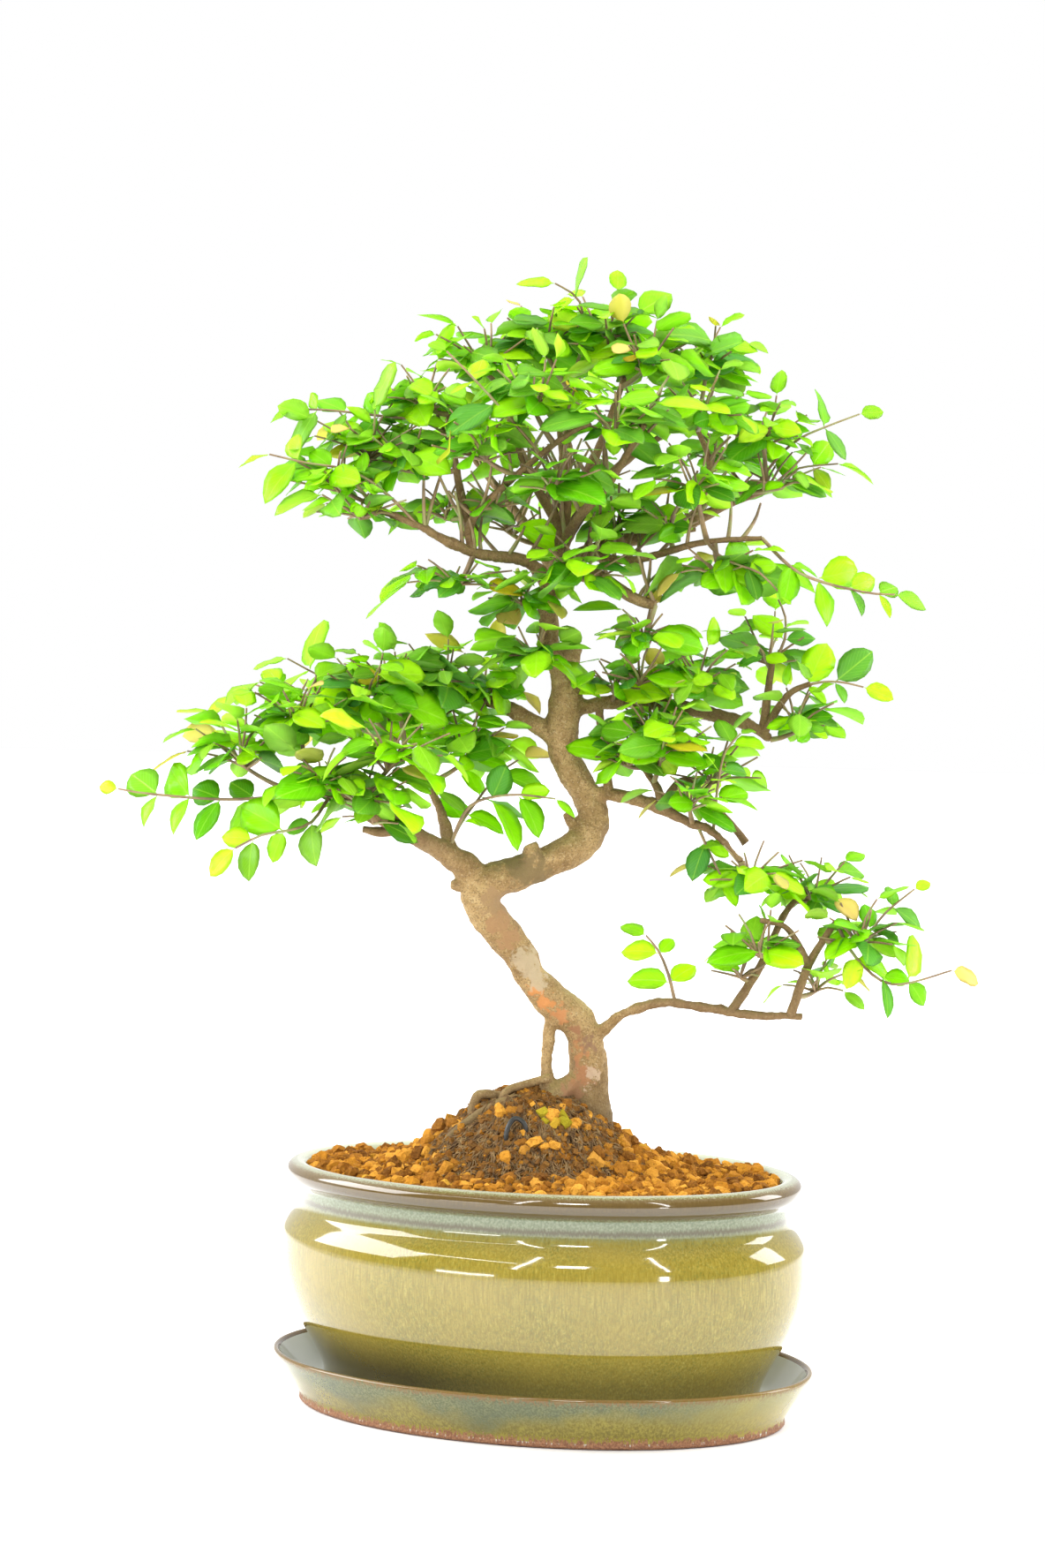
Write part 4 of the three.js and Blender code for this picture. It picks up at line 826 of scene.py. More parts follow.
# Foliage: every pad is filled by the same rule, and the solids' own shoots are some of these
seriesValues = {"spread": 2654435761, "begin": 12345, "factor": 1664525, "step": 1013904223, "size": 2 ** 32}
stemValues = {
    "radius": 1.3, "endRadius": 0.75, "heart": 0.45, "lowest": 140, "thickest": 6.9, "climb": 0.6,
    "farthest": 75, "tries": 40, "clear": 4, "enoughRoom": 2.2, "sampleStep": 3,
    "bows": [(0, 0, -0.12), (0, 0, 0.15), (0.15, 0, 0), (-0.15, 0, 0), (0, 0.15, 0), (0, -0.15, 0)],
}
shootValues = {
    "inPad": 12, "fan": 1.55, "turn": math.pi * (3 - math.sqrt(5)), "reach": (0.82, 0.26),
    "from": (0.25, 0.75), "bow": 5, "rise": 0.7, "radius": (0.62, 0.38), "step": 4, "roundness": 1,
    "longFace": (0, -1, 0.5), "longMiddle": (0, 30, -15), "longSpacing": 12.5, "longRadius": 0.8,
    "longSeed": 9000, "extraRadius": 0.7, "extraSeed": 9500,
}
planValues = {  # where a shoot's leaves stand, in mm and as shares of its length
    "length": (10.5, 16), "spacing": 9.5, "filled": 0.75, "first": 0.26, "jitter": 1.5, "tipRoom": 4.4,
    "spread": (0.9, 0.5), "lift": (-0.3, 0.5), "light": 0.35, "sunward": 1.15, "outward": 0.4,
    "hang": 0.08, "hangMore": 0.4, "turned": 0.6, "flatLight": 0.65, "faceTilt": 1.5,
}
bareTwigValues = {
    "seed": 17, "count": 90, "radius": (0.95, 0.45), "heights": (322, 392), "thickest": 6, "lean": 0.9,
    "outward": 90, "up": 1.1, "length": (12, 32), "kink": 2.5,
}
thinningValues = {"seed": 31, "kept": 0.88, "share": 0.94, "woodRoom": 0.8, "probes": (0.35, 0.65, 1)}


def randomSeries(seed):
    # the plain series of numbers that the solids use too
    values = seriesValues
    state = (seed * values["spread"] + values["begin"]) % values["size"]
    while True:
        state = (state * values["factor"] + values["step"]) % values["size"]
        yield state / values["size"]


def unit(vector):
    return vector / math.sqrt(float(vector @ vector))


def limbSamplePoints():
    samples = []
    for points in limbs.values():
        for start, end in zip(points, points[1:]):
            start, end = np.array(start, float), np.array(end, float)
            count = math.ceil(float(np.linalg.norm(end[:3] - start[:3])) / stemValues["sampleStep"])
            samples += [start + (end - start) * ((k + 1) / count) for k in range(count)]
    return np.array(samples)


def bentPath(start, end, bow, pieces):
    middle = (start + end) * 0.5 + bow
    shares = [k / pieces for k in range(pieces + 1)]
    return [(1 - t) ** 2 * start + 2 * (1 - t) * t * middle + t ** 2 * end for t in shares]


def samplesOf(path):
    pairs = zip(path, path[1:])
    return np.array([start + (end - start) * (k / 4) for start, end in pairs for k in (1, 2, 3, 4)])


def roomAround(samples, root, limbSamples, stemSamples):
    free = samples[np.linalg.norm(samples - root[:3], axis=1) > root[3] + stemValues["clear"]]
    room = math.inf
    if len(free):
        gaps = np.linalg.norm(free[:, None] - limbSamples[None, :, :3], axis=2) - limbSamples[None, :, 3]
        room = float(gaps.min())
    if len(stemSamples):
        gaps = np.linalg.norm(samples[:, None] - np.array(stemSamples)[None], axis=2) - stemValues["radius"]
        room = min(room, float(gaps.min()))
    return room


def padStem(middle, half, limbSamples, stemSamples):
    # from the wood nearest to the pad's heart, by the first way that has enough room, or the roomiest
    values = stemValues
    heart = np.array([middle[0], middle[1], middle[2] - values["heart"] * half[2]])
    spots = limbSamples[(limbSamples[:, 2] > values["lowest"]) & (limbSamples[:, 3] < values["thickest"])]
    distances = np.linalg.norm(spots[:, :3] - heart, axis=1)
    near = [(distance + values["climb"] * max(0, spot[2] - heart[2]), spot)
            for distance, spot in zip(distances, spots) if distance < values["farthest"]]
    near.sort(key=lambda pair: pair[0])
    best, bestRoom = None, -math.inf
    for root, bow in ((root, bow) for _, root in near[:values["tries"]] for bow in values["bows"]):
        path = bentPath(root[:3], heart, np.array(bow) * float(np.linalg.norm(root[:3] - heart)), 3)
        room = roomAround(samplesOf(path), root, limbSamples, stemSamples)
        if room > bestRoom:
            best, bestRoom = path, room
        if bestRoom > values["enoughRoom"]:
            break
    stemSamples.extend(samplesOf(best))
    return best


def padShoot(middle, half, stem, index, random):
    values = shootValues
    level = 1 - values["fan"] * (index + 0.5) / values["inPad"]
    flat = math.sqrt(1 - level * level)
    angle = values["turn"] * index + next(random)
    reach = values["reach"][0] + values["reach"][1] * next(random)
    tip = np.array([middle[0] + half[0] * reach * flat * math.cos(angle),
                    middle[1] + half[1] * reach * flat * math.sin(angle),
                    middle[2] + half[2] * reach * level])
    start = stem[2] + (stem[3] - stem[2]) * (values["from"][0] + values["from"][1] * next(random))
    bow = np.array([next(random) - 0.5, next(random) - 0.5, values["rise"] * next(random)]) * values["bow"]
    return bentPath(start, tip, bow, 2)


def lengthOf(path):
    return sum(float(np.linalg.norm(end - start)) for start, end in zip(path, path[1:]))


def pointAlong(path, distance):
    for start, end in zip(path, path[1:]):
        step = float(np.linalg.norm(end - start))
        if distance <= step:
            return start + (end - start) * (distance / step)
        distance -= step
    return path[-1]


def ringAt(path, length, distance, top):
    along = unit(pointAlong(path, min(length, distance + 1)) - pointAlong(path, max(0, distance - 1)))
    up = unit(top - along * float(top @ along))
    return pointAlong(path, distance), along, up, np.cross(along, up)


def shootPlan(path, centre, random, spacing=planValues["spacing"], face=None):
    # the shoot's leaves: (frame on the shoot, side, spread, lift, light, size, share of the way along)
    values = planValues
    outward = unit(path[-1] - centre)
    length = lengthOf(path)
    low, high = values["length"]

    def leaf(side, ring, share):
        spreadOut = values["spread"][0] + values["spread"][1] * next(random)
        lift = values["lift"][0] + values["lift"][1] * next(random)
        light = np.array([next(random) - 0.5, next(random) - 0.5, next(random) + values["light"]])
        light = light + outward * values["sunward"]
        return ring, side, spreadOut, lift, light, low + (high - low) * next(random), share

    if face is None:
        face = np.array([values["outward"] * outward[0], values["outward"] * outward[1], 1])
    top = ringAt(path, length, 0, face)[2]
    leaves = []
    for i in range(max(1, math.floor(values["filled"] * length / spacing + 0.5))):
        distance = values["first"] * length + i * spacing + values["jitter"] * next(random)
        if distance > length - values["tipRoom"]:
            break
        ring = ringAt(path, length, distance, top)
        top = ring[2]
        leaves += [leaf(side, ring, distance / length) for side in (1, -1)]
    return leaves + [leaf(0, ringAt(path, length, length, top), 1.0)]


def leafFrame(leaf):
    values = planValues
    (centre, along, _, aside), side, spreadOut, lift, light, size, share = leaf
    direction = along + aside * (side * spreadOut)
    direction[2] += lift - values["hang"] * (values["hangMore"] + light[2])
    light = light * np.array([1, 1, values["flatLight"]])
    facing = unit(light)
    direction = unit(direction - facing * (values["turned"] * float(direction @ facing)))
    level = along.copy() if side else -aside
    level = unit(level - direction * float(level @ direction))
    face = np.cross(direction, level) * (side or 1)
    tilt = math.atan2(-float(light @ level), float(light @ face))
    tilt = max(-values["faceTilt"], min(values["faceTilt"], tilt))
    across = level * math.cos(tilt) + face * math.sin(tilt)
    up = face * math.cos(tilt) - level * math.sin(tilt)
    if side >= 0:
        across = -across
    return centre, across, direction, up, size, share


# One leaf, 1 long, modelled once: an upper and a lower side joined along their edge
leafValues = {
    "rows": [0, 0.09, 0.17, 0.32, 0.50, 0.69, 0.88, 1],
    "halfWidths": [0, 0.018, 0.17, 0.295, 0.335, 0.30, 0.17, 0],
    "columns": (4, 2), "thickness": 0.010, "stalk": 2.2,
    "fold": (-0.05, 0.34), "droop": (0.5, 1.9), "usualDroop": 0.14, "twist": (-0.35, 0.35),
    "wave": (-0.02, 0.02), "narrow": (0.86, 1.08), "swing": (-0.06, 0.06),
    "smallest": 0.88, "larger": 0.75, "fewLarge": 1.6, "tip": 0.8, "seed": 70,
}


def makeLeafTemplate():
    rows, widths = leafValues["rows"], leafValues["halfWidths"]
    last = len(rows) - 1
    sides = []
    for columns, rise in zip(leafValues["columns"], (1, -1)):
        bpy.ops.mesh.primitive_grid_add(x_subdivisions=columns, y_subdivisions=last, size=2,
                                        location=(0, 0, 0))
        side = bpy.context.object
        for vertex in side.data.vertices:
            row = round((vertex.co.y + 1) / 2 * last)
            across = vertex.co.x
            thickness = rise * leafValues["thickness"] * (1 - across ** 2) * (1 if 0 < row < last else 0)
            if row == 1:
                thickness *= leafValues["stalk"]
            vertex.co = (across * widths[row], rows[row], thickness)
        if rise < 0:
            side.data.flip_normals()
        sides.append(side)
    bpy.ops.object.select_all(action="DESELECT")
    for side in sides:
        side.select_set(True)
    bpy.context.view_layer.objects.active = sides[0]
    bpy.ops.object.join()
    enterEdit()
    bpy.ops.mesh.remove_doubles(threshold=0.0005)
    leaveEdit()
    leaf = bpy.context.object
    points = np.array([vertex.co[:] for vertex in leaf.data.vertices])
    faces = [list(polygon.vertices) for polygon in leaf.data.polygons]
    under = [1.0 if polygon.normal.z < 0 else 0.0 for polygon in leaf.data.polygons]
    bpy.data.objects.remove(leaf)
    return points, faces, under


def leavesPiece(leaves, template, random, scale, tone):
    # copies of the leaf, each with its own size, fold and droop, and with its colours in an attribute
    values = leafValues
    points, faces, under = template
    x, y, z = points.T
    count = len(points)
    shapes, tones = [], []
    for leaf in leaves:
        centre, across, direction, up, size, share = leafFrame(leaf)
        fold = random.uniform(*values["fold"])
        droop = values["usualDroop"] * random.uniform(*values["droop"])
        twist = random.uniform(*values["twist"])
        wave = random.uniform(*values["wave"])
        narrow = random.uniform(*values["narrow"])
        rise = z + fold * np.abs(x) - droop * y ** 2 + twist * x * y + wave * np.sin(9 * y + 3) * x * 8
        side = x * narrow + random.uniform(*values["swing"]) * y ** 2
        size *= scale * (values["smallest"] + values["larger"] * random.random() ** values["fewLarge"])
        if share > 0.99:
            size *= values["tip"]
        shapes.append(centre + size * (np.outer(side, across) + np.outer(y, direction) + np.outer(rise, up)))
        age = random.random()
        # a tone below 1 makes the leaves lighter; on the left branch this is painted backlight
        tones.append((random.random() ** tone, share, age, 1.0))
    place = np.concatenate(shapes) @ np.array(frontMatrix.to_3x3()).T
    allFaces = [[index + k * count for index in face] for k in range(len(shapes)) for face in faces]
    piece = meshPiece(place.tolist(), allFaces)
    mesh = piece.data
    colours = mesh.color_attributes.new("leafTone", "FLOAT_COLOR", "POINT")
    colours.data.foreach_set("color", np.repeat(np.array(tones), count, axis=0).ravel())
    lower = mesh.attributes.new("underSide", "FLOAT", "FACE")
    lower.data.foreach_set("value", under * len(shapes))
    layer = mesh.uv_layers.new(name="leafMap")
    loops = np.empty(len(mesh.loops), dtype=np.int32)
    mesh.loops.foreach_get("vertex_index", loops)
    local = points[loops % count]
    layer.data.foreach_set("uv", np.stack([local[:, 0] + 0.5, local[:, 1]], axis=1).ravel())
    return piece


regions = {  # piece, the beginnings of its nodes' names
    "leavesCrownLeft": ["spray_crown_far_left", "spray_crown_left", "spray_crown_top_left"],
    "leavesCrownTop": ["spray_crown_top", "spray_crown_peak", "spray_crown_front_top",
                       "spray_crown_front_left", "shoot_crown_top"],
    "leavesCrownRight": ["spray_crown_right", "spray_crown_front_right", "shoot_crown_trailing"],
    "leavesCrownBack": ["spray_crown_back"],
    "leavesCrownFront": ["spray_crown", "spray_leader"],
    "leavesLeft": ["spray_left", "shoot_left"],
    "leavesRight": ["spray_right"],
    "leavesBase": ["spray_base", "shoot_base"],
}
leafShares = {  # inside the crown and on its low right side leaves are few and the twigs show
    "spray_crown_left_tip": 0.75, "spray_crown_left_low": 0.5, "spray_crown_front_left": 0.6,
    "spray_crown_right": 0.7, "spray_crown_right_tip": 0.5, "spray_crown_right_hollow": 0.6,
    "spray_crown_front_right": 0.6, "spray_crown_front": 0.75, "spray_crown_front_low": 0.6,
    "spray_crown_under_left": 0.45, "spray_crown_under_right": 0.65, "spray_crown_under_mid": 0.6,
    "spray_crown_underside": 0.75, "spray_crown_hanging": 0.6, "spray_crown_inner_left": 0.4,
    "spray_crown_hollow_left": 0.5, "spray_crown_hollow_mid": 0.12, "spray_crown_hollow_right": 0.35,
    "spray_crown_back_out": 0.65, "spray_left_under": 0.5, "spray_right_top_in": 0.55,
    "spray_right_top_out": 0.7, "spray_right_out": 0.75, "spray_right_low": 0.4, "spray_right_inner": 0.45,
    "spray_right_under": 0.4, "spray_base_top": 0.7, "spray_base_right": 0.6, "spray_base_front": 0.6,
    "spray_left_crest": 0.45, "spray_left_shoulder": 0.45, "spray_left_tip": 0.8, "spray_left_top_out": 0.8,
    "spray_left_top": 0.75, "spray_left_top_in": 0.8, "spray_left_front": 0.7, "spray_left_low": 0.7,
    "spray_left_inner": 0.7, "spray_left_back": 0.8, "spray_base_low_left": 0.15, "spray_base_under": 0.25,
}
morePads = [  # small pads that the solids leave out, named after their region: middle, half sizes
    ("spray_crown_inner_left", (-21, -22, 369), (16, 18, 11)),
    ("spray_crown_hollow_left", (-41, -12, 364), (15, 14, 10)),
    ("spray_crown_hollow_mid", (-17, 6, 360), (14, 14, 9)),
    ("spray_crown_hollow_right", (28, 6, 363), (13, 14, 10)),
    ("spray_crown_right_hollow", (49, -4, 361), (15, 14, 9)),
    ("spray_crown_under_mid", (-10, -14, 330), (15, 14, 9)),
    ("spray_left_near_trunk", (-24, 12, 296), (15, 16, 12)),
    ("spray_left_front_out", (-87, -50, 258), (18, 15, 12)),
    ("spray_left_back_in", (-47, 42, 282), (19, 18, 15)),
    ("spray_left_under", (-68, -30, 243), (15, 14, 10)), ("spray_right_inner", (28, 0, 296), (13, 14, 10)),
    ("spray_right_trunk_side", (31, -14, 268), (13, 13, 12)),
    ("spray_right_middle", (43, -6, 283), (14, 14, 11)),
    ("spray_right_under", (57, -28, 251), (14, 14, 10)),
    ("spray_base_low_left", (78, -26, 183), (13, 14, 9)),
    ("spray_base_under", (109, -22, 178), (13, 14, 10)), ("spray_left_crest", (-100, -2, 291), (24, 18, 8)),
    ("spray_left_shoulder", (-66, -2, 300), (20, 18, 8)),
]
moreShoots = [  # single shoots that the solids leave out: region and name, route
    ("spray_left_low", [(-85, -44, 249), (-91, -50, 240), (-99, -54, 237), (-110, -57, 235),
                        (-120, -60, 230)]),
    ("spray_left_fork", [(-38, -12, 228), (-34, -6, 237), (-27, 0, 247), (-18, 5, 258), (-9, 8, 264)]),
    ("spray_left_high", [(-43, 26, 286), (-64, 30, 287), (-86, 30, 293), (-106, 28, 303)]),
    ("spray_crown_left_a", [(-39, -12, 392), (-50, -14, 398), (-67, -16, 400), (-88, -18, 402),
                            (-101, -20, 402)]),
    ("spray_crown_left_b", [(-51, -28, 356), (-63, -34, 368), (-77, -38, 377), (-95, -42, 380),
                            (-109, -44, 383)]),
    ("spray_crown_top_a", [(-3, -42, 384), (-13, -50, 395), (-27, -54, 410), (-40, -54, 423)]),
    ("spray_crown_right_a", [(84, 29, 373), (94, 30, 387), (103, 28, 395), (114, 26, 400), (127, 24, 405)]),
    ("spray_crown_right_b", [(90, 30, 373), (98, 30, 378), (103, 30, 383), (119, 30, 385)]),
    ("spray_crown_right_c", [(63, -15, 352), (68, -20, 346), (76, -24, 342), (84, -27, 339), (91, -28, 332)]),
    ("spray_right_up", [(94, 15, 306), (97, 14, 313), (97, 13, 322), (94, 12, 329)]),
    ("spray_right_far", [(98, 12, 290), (108, 8, 295), (118, 4, 296), (128, 1, 294)]),
    ("spray_right_green", [(67, -23, 237), (69, -18, 256), (72, -13, 268), (78, -10, 275)]),
    ("spray_right_hang", [(61, -21, 238), (66, -26, 227), (71, -30, 217)]),
    ("spray_base_pink", [(120, -36, 195), (128, -36, 198), (135, -35, 206), (146, -34, 215)]),
]


leafScales = {"leavesLeft": 1.15, "leavesCrownFront": 1.15}  # the pieces whose leaves are larger than usual
# the left branch's leaves are painted lighter, a painted backlight; the base's leaves are lighter and the
# crown's back darker
leafLightness = {"leavesLeft": 0.72, "leavesBase": 0.85, "leavesCrownBack": 1.2}  # less than 1 is lighter


def regionOf(name):
    # the longest beginning of a name that fits decides
    starts = [(start, region) for region, names in regions.items() for start in names]
    return max((len(start), region) for start, region in starts if name.startswith(start))[1]


def bareTwigs(limbSamples):
    # old thin twigs without leaves, which rise from the crown's branches
    values = bareTwigValues
    random = np.random.default_rng(values["seed"])
    low, high = values["heights"]
    heights, radii = limbSamples[:, 2], limbSamples[:, 3]
    spots = limbSamples[(heights > low) & (heights < high) & (radii < values["thickest"])]
    lean, kink = values["lean"], values["kink"]
    lines = []
    for _ in range(values["count"]):
        root = spots[int(random.integers(len(spots)))][:3]
        aside = lean * random.uniform(-1, 1) + root[0] / values["outward"]
        heading = np.array([aside, lean * random.uniform(-1, 1), values["up"]])
        reach = random.uniform(*values["length"])
        bend = np.array([random.uniform(-kink, kink), random.uniform(-kink, kink), 0])
        path = bentPath(root, root + unit(heading) * reach, bend, 3)
        lines.append(alongLimb(withRadius(path, *values["radius"]), shootValues["step"]))
    return lines


def isClear(leaf, limbSamples):
    # no leaf that the wood passes through
    centre, _, direction, _, size, _ = leafFrame(leaf)
    probes = centre + np.outer(np.array(thinningValues["probes"]) * size, direction)
    gaps = np.linalg.norm(probes[:, None] - limbSamples[None, :, :3], axis=2) - limbSamples[None, :, 3]
    return gaps.min() > thinningValues["woodRoom"]


def makeFoliage(leafMaterial, twigMaterial):
    limbSamples, stemSamples = limbSamplePoints(), []
    leavesOf = {region: [] for region in regions}
    nodesOf = {region: [] for region in regions}
    twigs = []
    thinning = np.random.default_rng(thinningValues["seed"])
    values = shootValues
    thick, thin = values["radius"]

    def addTwig(path, start, end):
        twigs.append(alongLimb(withRadius(path, start, end), values["step"]))

    for index, (name, middle, half) in enumerate(pads + morePads):
        stem = padStem(middle, half, limbSamples, stemSamples)
        addTwig(stem, stemValues["radius"], stemValues["endRadius"])
        centre = np.array([middle[0], middle[1], middle[2] - half[2]])
        kept = thinningValues["kept"] * leafShares.get(name, thinningValues["share"])
        for i in range(values["inPad"]):
            random = randomSeries(100 * index + i + 1)
            path = padShoot(middle, half, stem, i, random)
            addTwig(path, thick, thin)
            leaves = shootPlan(path, centre, random)
            leavesOf[regionOf(name)] += [leaf for leaf in leaves if thinning.random() < kept]
        if index < len(pads):
            nodesOf[regionOf(name)].append(name)
    twigs += bareTwigs(limbSamples)
    face = np.array(values["longFace"], float)
    for shoots, seed, radius in ((longShoots, values["longSeed"], values["longRadius"]),
                                 (moreShoots, values["extraSeed"], values["extraRadius"])):
        for index, (name, route) in enumerate(shoots):
            path = [np.array(point, float) for point in route]
            addTwig(path, radius, thin)
            centre = path[1] + np.array(values["longMiddle"])
            series = randomSeries(seed + index)
            leavesOf[regionOf(name)] += shootPlan(path, centre, series, values["longSpacing"], face)
            if shoots is longShoots:
                nodesOf[regionOf(name)].append(name)
    template = makeLeafTemplate()
    total = 0
    for order, region in enumerate(regions):
        leaves = [leaf for leaf in leavesOf[region] if isClear(leaf, limbSamples)]
        total += len(leaves)
        random = np.random.default_rng(leafValues["seed"] + order)
        piece = leavesPiece(leaves, template, random, leafScales.get(region, 1), leafLightness.get(region, 1))
        finishPiece(piece, region, leafMaterial, nodesOf[region])
    finishTubes(tubesPiece(twigs, values["roundness"]), "twigs", twigMaterial)
    print("leaves", total, "twigs", len(twigs))


leafLook = {
    "shader": {"Roughness": 0.3, "Specular IOR Level": 0.35}, "roughness": (0.28, 0.55),
    "greens": [(0.0, (0.03, 0.19, 0.015)), (0.16, (0.08, 0.36, 0.010)), (0.40, (0.19, 0.60, 0.003)),
               (0.70, (0.40, 0.82, 0.003)), (0.96, (0.58, 0.92, 0.008)), (1.0, (0.80, 0.95, 0.06))],
    "bluish": (0.06, 0.28, 0.07), "young": (0.55, 0.86, 0.03), "blotches": (0.08, 0.30, 0.006),
    "rib": (0.022, 0.006), "sideVeins": 9.0, "slant": 13.0, "veins": (0.62, 0.85, 0.10), "veinShare": 0.38,
    "newTip": (0.85, 0.50, 0.22), "old": (0.80, 0.50, 0.03), "under": (0.38, 0.62, 0.12),
    "relief": (0.0003, 0.5), "glow": (0.66, 0.95, 0.02), "glowShare": 0.35, "through": 0.55,
}


def leafMaterial():
    look = leafLook
    material, tree, shader = newMaterial("leaf", look["shader"])
    tones = addNode(tree, "ShaderNodeSeparateColor", {0: attributeOf(tree, "leafTone")["Color"]}).outputs
    chance, share, age = tones
    u, v, _ = xyz(tree, addNode(tree, "ShaderNodeUVMap", uv_map="leafMap").outputs[0])
    # dark to light green by each leaf's chance, which on the left branch is pushed lighter as painted
    # backlight
    colour = addRamp(tree, chance, look["greens"])
    other = blendMath(tree, "FRACT", times(tree, chance, 17.3))
    colour = mixColour(tree, spread(tree, other, 0.74, 0.80, 0, 0.7), colour, look["bluish"])
    colour = mixColour(tree, spread(tree, share, 0.5, 1.0, 0, 0.4), colour, look["young"])
    # midrib and side veins
    fromRib = blendMath(tree, "ABSOLUTE", blendMath(tree, "SUBTRACT", u, 0.5))
    slant = times(tree, fromRib, look["slant"])
    slanted = blendMath(tree, "SUBTRACT", times(tree, v, look["sideVeins"]), slant)
    beside = blendMath(tree, "ABSOLUTE", blendMath(tree, "SUBTRACT", blendMath(tree, "FRACT", slanted), 0.5))
    rib, vein = spread(tree, fromRib, *look["rib"]), spread(tree, beside, 0.10, 0.03, 0, 0.45)
    lines = blendMath(tree, "MAXIMUM", rib, vein)
    colour = mixColour(tree, times(tree, lines, look["veinShare"]), colour, look["veins"])
    blotch = addNoise(tree, objectPlace(tree), 3.2, 2)
    colour = mixColour(tree, spread(tree, blotch, 0.45, 0.75, 0, 0.25), colour, look["blotches"])
    # new tips are orange-pink, a few old leaves yellow
    tip = times(tree, spread(tree, share, 0.97, 0.995), spread(tree, age, 0.90, 0.93))
    colour = mixColour(tree, times(tree, tip, 0.8), colour, look["newTip"])
    old = times(tree, spread(tree, age, 0.012, 0.006), spread(tree, share, 0.9, 0.8))
    colour = mixColour(tree, times(tree, old, 0.85), colour, look["old"])
    under = attributeOf(tree, "underSide")["Fac"]
    colour = mixColour(tree, times(tree, under, 0.3), colour, look["under"])
    feed(tree, shader, {
        "Base Color": colour,
        "Roughness": spread(tree, under, 0, 1, *look["roughness"]),
        "Normal": addBump(tree, lines, *look["relief"], invert=True),
    })
    glow = mixColour(tree, look["glowShare"], colour, look["glow"])
    through = addNode(tree, "ShaderNodeBsdfTranslucent", {"Color": glow}).outputs[0]
    mixed = addNode(tree, "ShaderNodeMixShader", {0: look["through"], 1: shader.outputs[0], 2: through})
    feed(tree, tree.nodes["Material Output"], {"Surface": mixed.outputs[0]})
    return material


def plainMaterial(look, tone):
    # a tone that changes with a soft pattern, and fine grain
    material, tree, shader = newMaterial(look["name"], look["shader"])
    grain = addGrain(tree, *look["grain"])
    feed(tree, shader, {"Base Color": tone(tree, grain["Mask"]), "Normal": grain["Normal"]})
    return material


twigLook = {
    "name": "twig", "shader": {"Roughness": 0.6}, "grain": (0.8, 0.15), "noise": (9, 3),
    "tones": [(0.35, (0.13, 0.085, 0.04)), (0.52, (0.24, 0.15, 0.07)), (0.68, (0.22, 0.25, 0.08))],
}
fibreLook = {
    "name": "rootFibre", "shader": {"Roughness": 0.85, "Specular IOR Level": 0.2}, "grain": (0.6, 0.2),
    "noise": (3.5, 3),
    "tones": [(0.35, (0.07, 0.037, 0.014)), (0.5, (0.15, 0.088, 0.037)), (0.66, (0.23, 0.145, 0.06))],
}


def fibrousMaterial(look):
    return plainMaterial(look, lambda tree, mask: addRamp(
        tree, addNoise(tree, objectPlace(tree), *look["noise"]), look["tones"]))


# Soil: the bed and the root ball keep their solids, with loose grains of baked clay and fine roots over them
soilValues = {
    "level": 95.2, "mound": 33.8, "spread": 41, "edge": 2.6, "middle": -5, "ripple": 1.4,
    "halfLength": 98.4, "halfWidth": 65.4, "woodBelow": 140,
    "darkReach": 47, "darkNear": 10, "darkDeep": 0.9, "darkEdge": 6,
}
grainValues = {
    "seed": 11, "count": 2350, "tries": 40000, "size": (2.4, 5.3), "fewLarge": 1.4, "rise": (-0.1, 0.4),
    "apart": 0.37, "fromWood": 0.3, "bareMound": 0.995, "mossy": 0.05, "mostMoss": 0.5, "dark": 0.5,
    "shapes": 8, "cuts": 1, "rough": 0.27, "specialRise": 0.25,
    "special": [  # seen from the tree's front: x, depth, size, tone and moss
        (4.5, -21, 5.0, 0.95, 0.35), (0.5, -20, 3.8, 0.9, 0.9), (1.5, -23, 3.2, 0.7, 1.0),
        (8, -20, 3.8, 0.4, 1.0), (5.5, -25, 4.0, 0.85, 0.6), (9, -23, 4.2, 0.3, 0.9),
        (13, -20, 4.2, 0.85, 0.0), (12.5, -23, 2.8, 0.9, 0.0), (-17, -17, 3.6, 0.95, 0.1),
        (-16, -19.5, 3.3, 0.9, 0.0), (-17.5, -15, 2.9, 0.9, 0.0), (8, -16, 2.9, 0.9, 0.2),
        (-3, -33, 5.0, 0.98, 0.0), (1.5, -34.5, 3.6, 0.95, 0.0), (5, -33, 3.9, 0.98, 0.0),
        (-14, -38, 4.4, 0.8, 0.0),
    ],
}
crumbValues = {
    "count": 5800, "size": (0.8, 2.6), "rise": (-0.2, 1.1), "fromWood": 0.2,
    "onMound": 0.35, "moundSpread": (22, 18), "moundNear": -4,
    "dark": 0.87, "least": 0.3, "darker": 0.7, "pale": 0.15, "shapes": 6, "cuts": 0, "rough": 0.22,
}
grainShapeValues = {"wide": (0.75, 1.0), "high": (0.6, 0.9), "smooth": 0.6, "tip": 0.7, "firstSeed": 3}
rootletValues = {
    "seed": 5, "count": 1900, "reach": 44, "near": -6, "from": (0.15, 1), "aside": 0.9, "bend": 0.5,
    "step": 2.4, "steps": (5, 10), "rise": (0.3, 1.9), "radius": (0.14, 0.34),
}


def groundHeight(x, y):
    # the solids' own rule, as seen from the tree's front
    values = soilValues
    reach = math.hypot(x - values["middle"], 1.1 * y)
    mound = values["mound"] * math.exp(-(reach / values["spread"]) ** values["edge"])
    ripple = math.sin(0.46 * x + 1.7 * math.sin(0.33 * y)) * math.sin(0.51 * y + 1.9 * math.sin(0.37 * x))
    return values["level"] + mound + values["ripple"] * ripple


